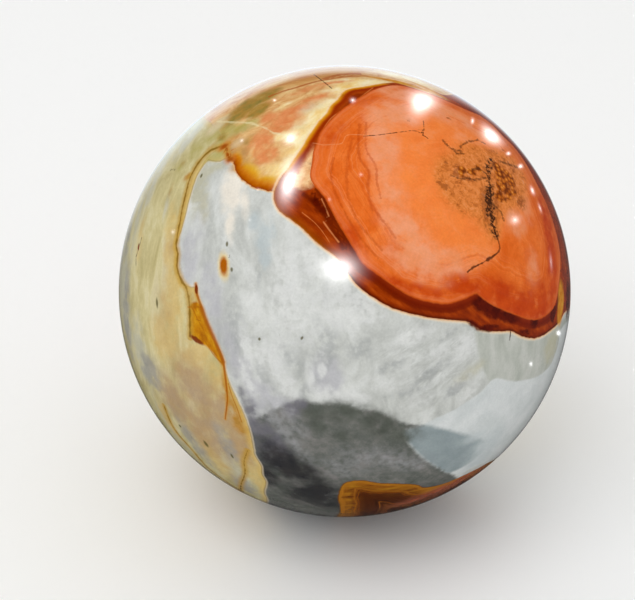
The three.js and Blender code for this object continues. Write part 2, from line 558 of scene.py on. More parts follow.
# Ovals that are half as strong at their given size, and gone at twice that
PATCHES: dict[Field, tuple[Spot, ...]] = {
    Field.PALE_WISPS: (
        Spot((288, 288), 4.5, 11, -6, 0.8), Spot((345, 305), 8, 6, 0, 0.9),
        Spot((312, 262), 4, 7, 0, 0.7), Spot((244, 372), 1.3, 4, 18, 0.8),
        Spot((252, 388), 1.4, 5, 32, 0.7), Spot((264, 402), 1, 4, 38, 0.5),
        Spot((246, 346), 1.6, 6, 12, 0.9), Spot((262, 352), 3, 5, 10, 0.7),
        Spot((276, 366), 2.4, 6, 20, 0.8), Spot((288, 385), 2.4, 5, 20, 0.8),
        Spot((310, 376), 1, 4, 6, 0.9), Spot((322, 371), 1, 1.8), Spot((325, 394), 2.6, 2.2, 0, 0.9),
        Spot((356, 398), 3.4, 2, -20, 0.8), Spot((336, 398), 2.2, 1.6, 0, 0.8),
        Spot((370, 318), 4, 2.4, 20, 0.8), Spot((414, 336), 5, 2.2, 24, 0.8),
        Spot((300, 330), 4, 6, 0, 0.6), Spot((466, 346), 3.6, 3, 40, 0.9),
        Spot((440, 352), 3.6, 1.6, 34, 0.7), Spot((385, 384), 6, 2.2, -8, 0.6),
        Spot((420, 402), 5, 1.8, 16, 0.5), Spot((470, 392), 3.4, 2, 40, 0.7),
        Spot((252, 300), 3, 8, 6, 0.5), Spot((225, 240), 2, 5, 0, 0.4),
        Spot(Hidden(-24, 112), 3, 14, 50, 0.9), Spot(Hidden(-50, 118), 3, 10, 30, 0.9),
        Spot(Hidden(190, 150), 3, 12, 20, 0.9), Spot(Hidden(230, 150), 4, 10, -20, 0.9),
        Spot(Hidden(20, 110), 2.4, 12, -30, 0.8),
    ),
    Field.DARK_WISPS: (
        Spot((326, 300), 1, 5, -4, 0.7), Spot((303, 338), 0.7, 1.5, -30),
        Spot((366, 322), 1.6, 0.8, 20, 0.8), Spot((258, 275), 0.9, 4, 2, 0.7),
        Spot((328, 345), 2.4, 6, -4, 0.8), Spot((318, 322), 1.4, 3, 0, 0.6),
        Spot((392, 366), 4, 1.4, 26, 0.7), Spot((430, 374), 6, 1.6, 30, 0.7),
        Spot((425, 328), 3, 1, 30, 0.6), Spot((458, 386), 4, 1.5, 36, 0.9),
        Spot((352, 286), 1.6, 3, -18, 0.6), Spot((448, 335), 3, 0.9, 36, 0.7),
        Spot((238, 330), 2.6, 7, 10, 0.8), Spot((262, 372), 1.6, 4, 20, 0.8),
        Spot((303, 395), 1.2, 2.4), Spot((408, 392), 6, 1.2, 10, 0.6),
        Spot((360, 350), 3.4, 2.4, 20, 0.7), Spot((308, 388), 2, 1.4, 20, 0.9),
        Spot((286, 362), 13, 8, 10, 0.5), Spot(Hidden(-30, 122), 2, 12, 46),
        Spot(Hidden(10, 118), 2, 10, -30, 0.9), Spot(Hidden(210, 154), 3, 10, 10, 0.9),
        Spot(Hidden(250, 160), 3, 9, 30, 0.9), Spot(Hidden(-60, 126), 2, 8, 20),
    ),
    Field.FEATHERS: (
        Spot((450, 360), 12, 7, 28), Spot((405, 345), 8, 5, 24, 0.8), Spot((500, 350), 8, 6, 30, 0.8),
        Spot(Hidden(-18, 104), 18, 14, 20), Spot(Hidden(150, 150), 20, 14, 20),
    ),
    Field.CREAM_STREAK: (
        Spot((232, 190), 3, 6.5, -2), Spot((230, 222), 1.4, 5, 0, 0.8),
        Spot((244, 200), 1.4, 5, 4, 0.7), Spot(Hidden(-14, 116), 2.4, 10, 30),
        Spot(Hidden(216, 158), 3, 12, 30, 0.9), Spot(Hidden(-44, 128), 2, 9, 40, 0.9),
    ),
    Field.SMOKE: (
        Spot((263, 238), 2, 3.6, -4), Spot((265, 258), 1.5, 3, 4, 0.9),
        Spot((256, 222), 2, 2.6, 0, 0.7), Spot((272, 228), 1, 4, 10, 0.7),
    ),
    Field.LILAC: (
        Spot((189, 258), 3, 6, -4), Spot((212, 296), 3, 9, 12, 0.8), Spot((200, 225), 2.4, 6, 0, 0.6),
        Spot((262, 398), 4, 5, 30), Spot((246, 372), 2, 6, 16, 0.8), Spot((234, 352), 2.4, 9, 14, 0.8),
        Spot((326, 376), 3.4, 5, 8), Spot((282, 404), 3, 3, 0, 0.7), Spot(Hidden(-70, 120), 8, 10),
        Spot(Hidden(26, 118), 5, 9, 0, 0.9),
    ),
    Field.GREEN_GREY: (
        Spot((200, 186), 2.4, 7, -14), Spot((214, 168), 4, 2, 0, 0.8), Spot((204, 205), 2, 5, 0, 0.8),
        Spot((552, 345), 4, 5, 20), Spot((470, 372), 5, 2, 24, 0.6), Spot(Hidden(-5, 98), 10, 9),
        Spot(Hidden(40, 108), 8, 8, 0, 0.8),
    ),
    Field.MIST: (
        Spot((216, 126), 3.4, 2.4, 30, 0.9), Spot((312, 107), 3.6, 2, 40, 0.8),
        Spot((238, 143), 2, 1.6, 0, 0.6), Spot((300, 126), 2, 2, 40, 0.5),
    ),
    # Softens the bluish painted reflection into the pale one
    Field.BLUE_FADE: (
        Spot((486, 446), 4.6, 5, -10), Spot((474, 438), 4, 1.8, -14, 0.8), Spot((478, 460), 4.6, 4, 40),
    ),
    # Painted reflection: a warm reddish-pink along the lower right outline, over the ochre
    Field.OCHRE_RED: (
        Spot((462, 479), 9, 2.6, 24), Spot((430, 494), 10, 3, 8, 0.9), Spot((484, 466), 5, 2, 34, 0.9),
    ),
    # Dim grey in the lower left: partly the stone's grey, partly painted shade that softens the darker
    # lower part
    Field.DUSK: (
        Spot((253, 416), 2, 5, 20, 0.9), Spot((262, 434), 3.6, 6, 24), Spot((292, 410), 2, 2.4, 0, 0.9),
        Spot((272, 446), 4, 6, 24), Spot(Hidden(258, 96), 14, 14), Spot((300, 404), 1.6, 1.4),
        Spot((243, 398), 1, 5, 18, 0.7), Spot(Hidden(8, 136), 5, 12, 60, 0.9),
        Spot(Hidden(-36, 114), 5, 3, 0, 0.8), Spot(Hidden(222, 148), 5, 9, 20, 0.8),
    ),
    # Darkest grey near the bottom of the ball: partly dark slate of the stone, partly painted shade
    Field.DARK_SLATE: (
        Spot((298, 470), 4, 9, 44), Spot((280, 462), 5, 8, 40), Spot((314, 494), 8, 7, 30),
        Spot(Hidden(262, 98), 14, 12), Spot((378, 500), 14, 5, 0, 0.7), Spot((340, 504), 10, 6, 0, 0.8),
        Spot((266, 474), 4, 6, 20, 0.9),
    ),
    Field.GREEN_SLATE: (
        Spot((316, 412), 5, 2.6, -8, 0.9), Spot((344, 412), 6, 3, -6), Spot((378, 424), 6, 3.4, -26),
        Spot((316, 424), 3, 3, 0, 0.8), Spot((340, 434), 4, 3, 0, 0.6),
        Spot((402, 434), 5, 2.4, -20, 0.9),
    ),
    Field.SLATE_WISPS: (
        Spot((271, 414), 1.7, 5, 38), Spot((283, 429), 1.7, 5, 38), Spot((295, 443), 1.8, 4.6, 36, 0.8),
        Spot((304, 456), 2, 4, 36, 0.6), Spot((288, 414), 2.2, 2.4, 20, 0.9),
        Spot((300, 430), 2.4, 3, 20, 0.6), Spot((372, 458), 9, 3.4, -10, 0.6),
        Spot((405, 462), 7, 3, -24, 0.7), Spot((345, 468), 7, 3.6, 0, 0.6),
    ),
    # Paler salmon in the eye: partly the stone's tone, partly painted glow of soft reflections and of the
    # halos round highlights
    Field.EYE_SALMON: (
        Spot((384, 150), 3.6, 8.5, 2), Spot((404, 228), 7, 4.5, -46, 0.9),
        Spot((420, 258), 8, 4.5, -26), Spot((450, 262), 7, 3.4, -6, 0.7),
        Spot((533, 268), 3.4, 6, 0, 0.5), Spot((394, 112), 7, 5, 20), Spot((414, 98), 9, 4, -10),
        Spot((500, 128), 6, 3, -44, 0.8), Spot((442, 112), 6, 4, -16, 0.8),
        Spot((515, 220), 4, 4, 0, 0.8), Spot((525, 205), 3, 5, 20, 0.6),
        Spot((392, 198), 4, 6, 10, 0.7), Spot((466, 122), 6, 3, -30, 0.7), Spot(Hidden(100, 146), 7, 5),
    ),
    # Deeper red in the eye: the stone's tone, and along the right outline a painted dark strip of limb
    # shade
    Field.EYE_RED: (
        Spot((463, 284), 5.5, 2.6, -4), Spot((500, 298), 9, 4.2, -22), Spot((536, 302), 8, 5),
        Spot((552, 262), 3, 14, 8), Spot((332, 134), 3, 6, -38, 0.5), Spot((362, 101), 7, 1.8, 24, 0.5),
        Spot((549, 228), 3.4, 10, 18, 0.9), Spot((352, 234), 2, 6, 36, 0.6),
        Spot((424, 290), 8, 1.6, -10, 0.7), Spot((400, 284), 8, 1.6, -24, 0.6),
        Spot((520, 306), 8, 4, -16), Spot(Hidden(130, 138), 7, 5, 30, 0.5),
    ),
    Field.EYE_BLAZE: (
        Spot((418, 180), 8, 13), Spot((455, 228), 9, 5, -10, 0.9), Spot((440, 130), 7, 4, -10, 0.7),
    ),
    Field.LUMPS: (
        Spot((502, 174), 2.6, 3), Spot((505, 188), 3.2, 2.8, 20), Spot((500, 196), 2, 1.6),
        Spot((511, 180), 2, 2.6, 0, 0.9), Spot((497, 167), 1.6, 1.6, 0, 0.9),
        Spot((513, 192), 1.6, 2, 0, 0.8), Spot((462, 171), 1.4, 1.8, 0, 0.8),
        Spot((472, 172), 1.8, 1.2, 0, 0.8), Spot((479, 168), 1.4, 1.4, 0, 0.8),
    ),
    Field.SMUDGES: (
        Spot((459, 170), 1, 1.8, 20), Spot((440, 182), 0.9, 0.9), Spot((466, 177), 2.4, 0.7, -10, 0.9),
        Spot((445.5, 187), 1.1, 0.8), Spot((445.8, 162.6), 0.5, 0.6),
        Spot((456, 174), 0.9, 0.8, 0, 0.9), Spot((508, 163), 1.9, 0.6, -12),
        Spot((521, 202), 1.6, 2, -40, 0.9), Spot((514, 171), 0.7, 1.4, 0, 0.8),
        Spot((503, 150), 0.6, 0.5, 0, 0.8), Spot((508, 146), 0.5, 0.5, 0, 0.8),
        Spot((448, 118), 0.6, 0.4), Spot((524, 165), 0.6, 0.5, 0, 0.9), Spot((409, 120), 0.5, 0.4),
        Spot((494, 152), 1.8, 0.6, 20, 0.7), Spot((483, 200), 0.9, 4, 0, 0.7),
        Spot((486, 216), 0.8, 3, 0, 0.7), Spot((497, 206), 0.9, 2.6, 0, 0.7),
    ),
    Field.BAND_DARK: (
        Spot((492, 310.5), 4.4, 1.9, -20), Spot((480, 304), 2.4, 1.6, -20),
        Spot((508, 317), 4, 1.4, -14), Spot((534.2, 323), 1.7, 1.6), Spot((552.8, 313), 1.8, 2.4),
        Spot((488, 328), 4, 1, -6, 0.9), Spot((526, 332), 3.4, 1, -14, 0.7), Spot((568, 300), 3, 4.5),
        Spot((318, 205), 1.4, 4, 36, 0.7), Spot((473, 324), 2.4, 0.8, -30, 0.8),
    ),
    Field.BAND_PEACH: (
        Spot((309.5, 156), 1, 3.4, -6), Spot((305, 168), 1.8, 2.8, -10), Spot((303, 180), 2.8, 2.2),
        Spot((310, 184), 1.6, 1.4, 0, 0.6), Spot((292, 180), 1.3, 2.4, -30, 0.9),
        Spot((410, 85), 8, 1.3, -10), Spot((430, 91), 5, 1.2, -22, 0.9),
    ),
    Field.BAND_GOLD: (
        Spot((561, 303), 2.4, 5.4, -4), Spot((560.5, 290), 2.2, 3, 0, 0.8),
        Spot((560, 315), 1, 1.4, 0, 0.9), Spot((400, 82.5), 9, 1, -4),
        Spot((426, 88), 7, 0.9, -22, 0.9),
    ),
    Field.BAND_LEFT: (
        Spot((300, 207), 8, 6, -42), Spot((322, 234), 7, 4.5, -48), Spot((282, 192), 4, 5),
    ),
    Field.BAND_UPPER: (
        Spot((325, 118), 12, 5, 52), Spot((302, 158), 6, 5, 52, 0.9), Spot((366, 88), 10, 4, 12),
    ),
    Field.BAND_LOWER: (
        Spot((372, 288), 9, 6, -40), Spot((410, 306), 11, 6, -18), Spot((455, 312), 12, 7),
        Spot((510, 324), 14, 8, -8), Spot((550, 316), 8, 8, 20), Spot(Hidden(8, 99), 12, 12),
    ),
    Field.WEDGE_CREAM: (
        Spot((322, 112), 10, 3.2, 50), Spot((302, 143), 8, 3.2, 56, 0.9),
        Spot((284, 170), 3.6, 3.4, 40, 0.9), Spot((350, 88), 7, 2.6, 22), Spot((368, 81.5), 9, 2.4, 8),
        Spot((268, 170), 3, 2.8, 0, 0.5), Spot((279, 137), 2.8, 1.6, 10, 0.8),
        Spot((402, 77), 8, 2.6, -8), Spot((255, 150), 1.4, 4, -20, 0.6),
        Spot((283, 106), 3, 0.8, 26, 0.7), Spot(Hidden(88, 108), 12, 3),
        Spot(Hidden(112, 116), 10, 3, 30),
    ),
    Field.SALMON: (
        Spot((284, 122), 5, 3.2, 24), Spot((294, 110), 5.4, 1.7, 20), Spot((262, 142), 2.8, 3.8, -6),
        Spot((265, 155), 3.2, 2.6, 0, 0.9), Spot((318, 97), 6, 1.5, 22, 0.7),
        Spot((270, 118), 2.6, 2.2, 30, 0.9), Spot((255, 146), 2, 3, 0, 0.7),
        Spot((304, 91), 8, 1.2, 18, 0.5), Spot(Hidden(100, 104), 10, 3, -6, 0.9),
        Spot((330, 83), 6, 1, 14, 0.8), Spot((272, 132), 3.4, 2, 20, 0.6),
        Spot(Hidden(74, 106), 7, 4, 0, 0.9), Spot(Hidden(140, 118), 5, 4, 0, 0.9),
    ),
    Field.OLIVE: (
        Spot((245, 108), 7.2, 3.8, 40), Spot((264, 97), 4.8, 3.2, 30),
        Spot(Hidden(118, 96), 6, 8, 0, 0.9), Spot((258, 110), 4, 2.6, 40),
        Spot((236, 116), 3.4, 2.6, 30, 0.9), Spot((222, 137), 2, 2, 0, 0.6),
        Spot((246, 142), 1.2, 1.4, 30, 0.8), Spot(Hidden(104, 116), 8, 4, 10, 0.9),
        Spot((171, 190), 1.4, 4.4, -14, 0.5), Spot((168, 175), 2, 1.8, 0, 0.46),
        Spot((184, 162), 2, 2.8, 30, 0.46),
    ),
    Field.WEDGE_FOOT: (
        Spot((243, 178), 5, 4, -40), Spot((262, 188), 6, 3.4, -6), Spot((234, 164), 2.4, 3.4),
        Spot(Hidden(168, 134), 10, 10), Spot(Hidden(190, 160), 10, 10), Spot(Hidden(30, 150), 9, 9),
        Spot(Hidden(60, 112), 8, 6),
    ),
    Field.WEDGE_TAN: (
        Spot((237, 152), 3, 3.6), Spot((249, 140), 2.2, 1.8, 0, 0.8), Spot((244, 162), 3.4, 2.6),
        Spot((232, 142), 2.6, 2.4, 0, 0.9),
    ),
    Field.ARCS: (
        Spot((308, 78), 12, 3.4, 16), Spot((338, 71), 9, 3.6, 6), Spot(Hidden(102, 88), 18, 5),
        Spot(Hidden(86, 100), 16, 3, 10, 0.9), Spot(Hidden(100, 112), 18, 3, -14, 0.9),
    ),
    # Grey in the khaki: the stone's tone, and along the left outline a painted limb reflection
    Field.KHAKI_GREY: (
        Spot((122, 275), 6, 20, 4), Spot((154, 184), 2.4, 9, -34, 0.9),
        Spot((138, 218), 2.2, 8, -22, 0.8), Spot((190, 138), 8, 2.6, 42, 0.9),
        Spot((140, 350), 4, 7, 20), Spot(Hidden(188, 112), 5, 16, 10, 0.9),
        Spot((232, 468), 4, 11, 24, 0.9), Spot((172, 428), 3, 10, 44, 0.9),
        Spot((166, 208), 1.2, 4, -12, 0.6), Spot(Hidden(160, 118), 4, 12, 40, 0.8),
        Spot(Hidden(218, 120), 5, 10, -20, 0.9),
    ),
    Field.KHAKI_PINK: (
        Spot((196, 388), 9, 6, -34), Spot((176, 404), 9, 6, -40), Spot((218, 414), 6, 8, -30),
        Spot((240, 444), 5, 8), Spot((172, 246), 1.6, 4, 0, 0.5), Spot((205, 430), 10, 8, -40),
        Spot((163, 312), 5, 12, 0, 0.4), Spot((188, 362), 8, 6, -34, 0.42),
        Spot(Hidden(236, 96), 14, 14), Spot(Hidden(196, 118), 6, 11, 20, 0.9),
        Spot(Hidden(156, 104), 5, 9, 0, 0.9), Spot(Hidden(226, 112), 7, 9),
    ),
    Field.KHAKI_GREEN: (
        Spot((217, 156), 3, 2), Spot((196, 150), 5, 4, 46, 0.7), Spot((212, 134), 5, 4, 40, 0.8),
        Spot((180, 170), 3, 5, -30, 0.5), Spot(Hidden(170, 104), 5, 9, 30, 0.9),
        Spot((238, 130), 5.6, 2.2, 8), Spot((226, 131), 4, 2.6, 20), Spot((222, 140), 3, 2.4, 0, 0.8),
    ),
    Field.KHAKI_YELLOW: (
        Spot((171, 248), 2.8, 10, 6, 0.9), Spot((172, 300), 3.6, 10, -4), Spot((165, 338), 5.5, 6),
        Spot((196, 356), 4, 5, -30), Spot((193, 184), 1.1, 5, -18), Spot((186, 212), 1, 6, -12),
        Spot((214, 378), 2.6, 5, 20, 0.8), Spot((177, 236), 1, 2.4), Spot((140, 240), 2, 9, -14, 0.5),
        Spot((212, 456), 4, 12, 34), Spot((248, 466), 2.4, 9, 18), Spot((168, 420), 2.4, 7, 40),
        Spot(Hidden(200, 108), 6, 16), Spot(Hidden(150, 112), 5, 11, 30),
        Spot(Hidden(330, 140), 6, 9, 0, 0.9), Spot(Hidden(184, 100), 4, 12, 20),
        Spot(Hidden(214, 126), 6, 12, -20), Spot(Hidden(172, 118), 5, 9, 50, 0.9),
    ),
    # Lilac grey in the khaki: the stone's tone, and near the left outline painted limb shade and
    # reflection
    Field.KHAKI_LILAC: (
        Spot((150, 372), 5, 5, -40), Spot((126, 310), 3, 12, 0, 0.9), Spot((140, 330), 2, 8, 14, 0.4),
        Spot((196, 446), 3, 9, 40, 0.9), Spot((226, 444), 2.4, 7, 24, 0.8),
        Spot((244, 486), 4, 6, 20, 0.9), Spot(Hidden(206, 104), 5, 9, 0, 0.9),
        Spot((128, 240), 2.4, 7, -12, 0.6), Spot(Hidden(176, 124), 4, 9, 20, 0.9),
    ),
    Field.KHAKI_GOLD: (
        Spot((230.5, 394), 1.4, 5.5, 20), Spot((236, 407), 2.4, 6.5, 22),
        Spot((242, 421), 2.8, 6.5, 24), Spot((187, 177), 1.5, 1), Spot((179, 241), 1, 1.6),
        Spot((193, 298), 1.2, 2.6, 0, 0.7), Spot((215, 143), 3, 0.9, 24, 0.7),
        Spot(Hidden(140, 110), 3, 8, 30, 0.9), Spot(Hidden(224, 132), 3, 9, 0, 0.9),
        Spot(Hidden(356, 134), 3, 8, 0, 0.9), Spot(Hidden(186, 122), 3, 12, 30, 0.7),
        Spot(Hidden(204, 126), 3, 9, -30, 0.8), Spot(Hidden(166, 108), 2, 10, 20, 0.8),
    ),
}

# Small marks with a clear edge
SPECKS: dict[Field, tuple[Spot, ...]] = {
    Field.BROWN_SPECKS: (
        Spot((196.6, 340), 2.3, 0.66, -19), Spot((196.4, 289), 0.5, 1.1),
        Spot((138.5, 247), 0.5, 1, -10), Spot(Hidden(186, 118), 0.7, 1.5, 20),
        Spot(Hidden(150, 108), 0.5, 0.9),
    ),
    Field.RUST_SPECKS: (
        Spot((224, 146.6), 1.05, 0.75, 10), Spot((229.8, 159.4), 0.85, 0.75, -20),
        Spot((227.6, 154.6), 0.35, 0.9, 20), Spot(Hidden(-32, 116), 0.9, 1.5, 20),
        Spot(Hidden(214, 148), 1, 0.7),
    ),
    Field.OCHRE_SPECKS: (Spot((223.6, 266), 1.05, 2.2, 5),),
    Field.OLIVE_SPECKS: (
        Spot((157, 303), 0.42, 1.15, 10), Spot((201.4, 175.6), 0.34, 0.6, -18),
        Spot((227, 244), 0.3, 0.6), Spot((259.5, 339), 0.32, 0.36), Spot((171, 169.8), 0.4, 0.24),
        Spot((174.6, 169.8), 0.3, 0.24), Spot((231.7, 269.5), 0.35, 0.55),
        Spot((302, 338), 0.3, 0.5, -30), Spot(Hidden(196, 106), 0.4, 1), Spot(Hidden(4, 106), 0.5, 0.4),
        Spot(Hidden(-40, 120), 0.4, 0.6), Spot((206, 444), 0.6, 1.1, 30),
        Spot((232, 456), 0.35, 0.8, 20), Spot((180, 426), 0.5, 0.5),
    ),
}


def smooth_line(corners: np.ndarray, closed: bool, longest: float) -> np.ndarray:
    """Draws a smooth curve through points of the unit ball.

    Args:
        corners: One row for each point that the curve goes through.
        closed: Whether the curve comes back to its start.
        longest: The longest step between two points of the curve.

    Returns:
        The points of the curve, with the first one repeated at the end if it is closed.
    """
    count = len(corners)
    spans = count if closed else count - 1
    pieces = []
    for index in range(spans):
        if closed:
            before, start, end, after = (corners[(index + step) % count] for step in (-1, 0, 1, 2))
        else:
            start, end = corners[index], corners[index + 1]
            before = corners[index - 1] if index > 0 else 2 * start - end
            after = corners[index + 2] if index + 2 < count else 2 * end - start
        steps = max(1, round(float(np.linalg.norm(end - start)) / longest))
        t = np.arange(steps)[:, None] / steps
        curve = 0.5 * (
            2 * start
            + (end - before) * t
            + (2 * before - 5 * start + 4 * end - after) * t ** 2
            + (3 * start - before - 3 * end + after) * t ** 3
        )
        pieces.append(curve)
    pieces.append(corners[:1] if closed else corners[-1:])
    curve = np.concatenate(pieces)
    return curve / np.linalg.norm(curve, axis=1, keepdims=True)


def measure_to_line(points: np.ndarray, line: np.ndarray) -> tuple[np.ndarray, np.ndarray]:
    """Measures how far points of the unit ball lie from a curve on it.

    Args:
        points: One row for each point.
        line: The points of the curve.

    Returns:
        The distance from the curve, and the distance to one side of it, negative on the other.
    """
    nearest = np.full(len(points), np.inf)
    sideways = np.full(len(points), np.inf)
    for start, end in zip(line[:-1], line[1:]):
        along = end - start
        side = np.cross(start, along)
        side /= np.linalg.norm(side)
        offset = points - start
        share = np.clip(offset @ along / (along @ along), 0.0, 1.0)
        distance = np.linalg.norm(offset - share[:, None] * along, axis=1)
        closer = distance < nearest
        nearest[closer] = distance[closer]
        sideways[closer] = offset[closer] @ side
    return nearest, sideways


def inside_line(points: np.ndarray, line: np.ndarray) -> np.ndarray:
    """Tells which points of the unit ball lie inside a closed curve on it.

    Args:
        points: One row for each point.
        line: The points of the curve, with the first one repeated at the end.

    Returns:
        One truth value for each point.
    """
    middle = line.mean(axis=0)
    middle /= np.linalg.norm(middle)
    first = np.cross(middle, (0.0, 0.0, 1.0))
    first /= np.linalg.norm(first)
    second = np.cross(middle, first)
    flat = [
        np.stack([rows @ first, rows @ second], axis=1) / np.maximum(1 + rows @ middle, 1e-6)[:, None]
        for rows in (points, line)
    ]
    spots, corners = flat
    inside = np.zeros(len(points), dtype=bool)
    for (x0, y0), (x1, y1) in zip(corners[:-1], corners[1:]):
        if y0 == y1:
            continue
        crosses = (spots[:, 1] > y0) != (spots[:, 1] > y1)
        meets = x0 + (spots[:, 1] - y0) * (x1 - x0) / (y1 - y0)
        inside ^= crosses & (spots[:, 0] < meets)
    return inside


@dataclass
class Markings:
    """Lays the families of markings on the ball's mesh as attributes.

    A vertex counts as hidden by how little it faces the camera: from the first facing on, and
    wholly so at the second.
    """

    view: Viewpoint
    mesh: bpy.types.Mesh
    step_mm: float = 1.4
    hidden_facings: tuple[float, float] = (0.12, -0.15)
    far_mm: float = 100.0

    def __post_init__(self) -> None:
        """Finds the direction of every vertex from the ball's centre."""
        self.radius_mm = self.view.ball_radius_m / MM
        places = np.empty(len(self.mesh.vertices) * 3)
        self.mesh.vertices.foreach_get("co", places)
        offsets = places.reshape(-1, 3) - np.array(self.view.ball_centre_m)
        self.points = offsets / np.linalg.norm(offsets, axis=1, keepdims=True)

    def curve(self, line: Line, closed: bool) -> np.ndarray:
        """Draws a line of places as a smooth curve on the unit ball.

        Args:
            line: The places.
            closed: Whether the curve comes back to its start.

        Returns:
            The points of the curve.
        """
        corners = np.array([self.view.direction(place) for place in line])
        return smooth_line(corners, closed, self.step_mm / self.radius_mm)

    def store(self, field: Field, values: np.ndarray) -> None:
        """Keeps values as an attribute of the mesh.

        Args:
            field: The attribute's name.
            values: One number, or one row of three, for each vertex.
        """
        kind = "FLOAT" if values.ndim == 1 else "FLOAT_VECTOR"
        key = "value" if values.ndim == 1 else "vector"
        attribute = self.mesh.attributes.new(field.value, kind, "POINT")
        attribute.data.foreach_set(key, values.astype(np.float32).ravel())

    def lay_edges(self, field: Field, lines: tuple[Line, ...]) -> None:
        """Stores the distance inside closed edges, which is negative outside them.

        Args:
            field: The attribute's name.
            lines: The closed edges.
        """
        depth = np.full(len(self.points), -np.inf)
        for line in lines:
            curve = self.curve(line, closed=True)
            nearest, _ = measure_to_line(self.points, curve)
            signed = np.where(inside_line(self.points, curve), nearest, -nearest)
            depth = np.maximum(depth, signed * self.radius_mm)
        self.store(field, depth)

    def lay_veins(self, field: Field, veins: tuple[Vein, ...]) -> None:
        """Stores where each vertex lies by the nearest vein of a family.

        Args:
            field: The attribute's name. It holds the distance to one side of the vein, the
                distance from it and the vein's width, all in millimetres.
            veins: The veins of the family.
        """
        best = np.full((len(self.points), 3), self.far_mm)
        for vein in veins:
            nearest, sideways = measure_to_line(self.points, self.curve(vein.points, closed=False))
            near_mm = nearest * self.radius_mm
            widths = np.full_like(near_mm, vein.width_mm)
            row = np.stack([sideways * self.radius_mm, near_mm, widths], axis=1)
            closer = near_mm < best[:, 1]
            best[closer] = row[closer]
        self.store(field, best)

    def local(self, spot: Spot) -> np.ndarray:
        """Finds where each vertex lies by an oval.

        Args:
            spot: The oval.

        Returns:
            One row for each vertex: along the oval, across it and in depth, by its half sizes.
        """
        normal = self.view.direction(spot.place)
        across = self.view.axes[0] - normal * (self.view.axes[0] @ normal)
        across /= np.linalg.norm(across)
        up = np.cross(normal, across)
        turn = math.radians(spot.turn_deg)
        first = math.cos(turn) * across + math.sin(turn) * up
        second = math.cos(turn) * up - math.sin(turn) * across
        offset = (self.points - normal) * self.radius_mm
        larger = max(spot.across_mm, spot.up_mm)
        return np.stack([
            offset @ first / spot.across_mm,
            offset @ second / spot.up_mm,
            offset @ normal / larger,
        ], axis=1)

    def lay_patches(self, field: Field, spots: tuple[Spot, ...]) -> None:
        """Stores a strength that fades from the middle of each oval to twice its size.

        Args:
            field: The attribute's name.
            spots: The ovals. Where they overlap, the stronger one counts.
        """
        strength = np.zeros(len(self.points))
        for spot in spots:
            depth = np.clip(1 - np.linalg.norm(self.local(spot), axis=1) / 2, 0.0, 1.0)
            faded = depth * depth * (3 - 2 * depth)
            strength = np.maximum(strength, faded * spot.strength)
        self.store(field, strength)

    def lay_specks(self, field: Field, spots: tuple[Spot, ...]) -> None:
        """Stores where each vertex lies by the nearest speck of a family.

        Args:
            field: The attribute's name. It holds the place by the speck's half sizes, so the
                speck's edge is where the vector's length is one.
            spots: The specks.
        """
        best = np.full((len(self.points), 3), self.far_mm)
        closest = np.full(len(self.points), np.inf)
        for spot in spots:
            places = self.local(spot)
            reach = np.linalg.norm(places, axis=1)
            closer = reach < closest
            closest[closer] = reach[closer]
            best[closer] = places[closer]
        self.store(field, best)

    def lay_hidden(self) -> None:
        """Stores how far each vertex lies round the side that the photograph hides, from 0 to 1."""
        facing = self.points @ self.view.axes[2]
        first, last = self.hidden_facings
        share = np.clip((first - facing) / (first - last), 0.0, 1.0)
        self.store(Field.HIDDEN, share * share * (3 - 2 * share))

    def lay_all(self) -> None:
        """Stores every family of markings."""
        self.lay_hidden()
        for field, lines in EDGES.items():
            self.lay_edges(field, lines)
        for field, veins in VEINS.items():
            self.lay_veins(field, veins)
        for field, spots in PATCHES.items():
            self.lay_patches(field, spots)
        for field, spots in SPECKS.items():
            self.lay_specks(field, spots)


# Nodes and colours

Socket = bpy.types.NodeSocket


def linear(hex_colour: str, alpha: float = 1.0) -> tuple[float, float, float, float]:
    """Turns an sRGB hex colour into Blender's linear values.

    Args:
        hex_colour: The colour as "#RRGGBB".
        alpha: The strength that goes with it.

    Returns:
        Linear red, green, blue and the alpha.
    """
    channels = [int(hex_colour[start:start + 2], 16) / 255 for start in (1, 3, 5)]
    red, green, blue = (
        value / 12.92 if value <= 0.04045 else ((value + 0.055) / 1.055) ** 2.4
        for value in channels
    )
    return red, green, blue, alpha


def add_node(
    tree: bpy.types.NodeTree,
    kind: str,
    inputs: dict | None = None,
    stops: tuple = (),
    **settings: object,
) -> bpy.types.Node:
    """Adds a node with its settings and links.

    Args:
        tree: The node tree.
        kind: Blender's name for the kind of node, without its leading ShaderNode.
        inputs: For each input, by name or number, a value or the output that it is linked to.
        stops: For a colour ramp, the place and the linear colour of each stop.
        **settings: Properties of the node.

    Returns:
        The new node.
    """
    node = tree.nodes.new(f"ShaderNode{kind}")
    for name, value in settings.items():
        setattr(node, name, value)
    for key, value in (inputs or {}).items():
        if isinstance(value, Socket):
            tree.links.new(value, node.inputs[key])
        else:
            node.inputs[key].default_value = value
    for index, (place, colour) in enumerate(stops):
        elements = node.color_ramp.elements
        element = elements[index] if index < 2 else elements.new(place)
        element.position = place
        element.color = colour
    return node


# The looks of the stone


class Figure(Enum):
    """What a grain's tones follow."""

    CLOUDS = "clouds"
    CELLS = "cells"


@dataclass(frozen=True)
class Grain:
    """A cloudy, streaked or knobbly colour: how large its clouds are and the tones they run through."""

    tones: tuple[tuple[float, str], ...]
    across_mm: float
    up_mm: float
    turn_deg: float = 0.0
    detail: float = 5.0
    roughness: float = 0.55
    distortion: float = 0.0
    shift_mm: float = 0.0
    figure: Figure = Figure.CLOUDS


@dataclass(frozen=True)
class Zone:
    """A kind of stone that fills a closed edge. In the lower right a zone is a painted reflection, and in
    the lower part the stone carries painted shade.
    """

    field: Field
    grain: Grain
    softness_mm: float = 0.25
    fine_mm: float = 0.5
    broad_mm: float = 0.0


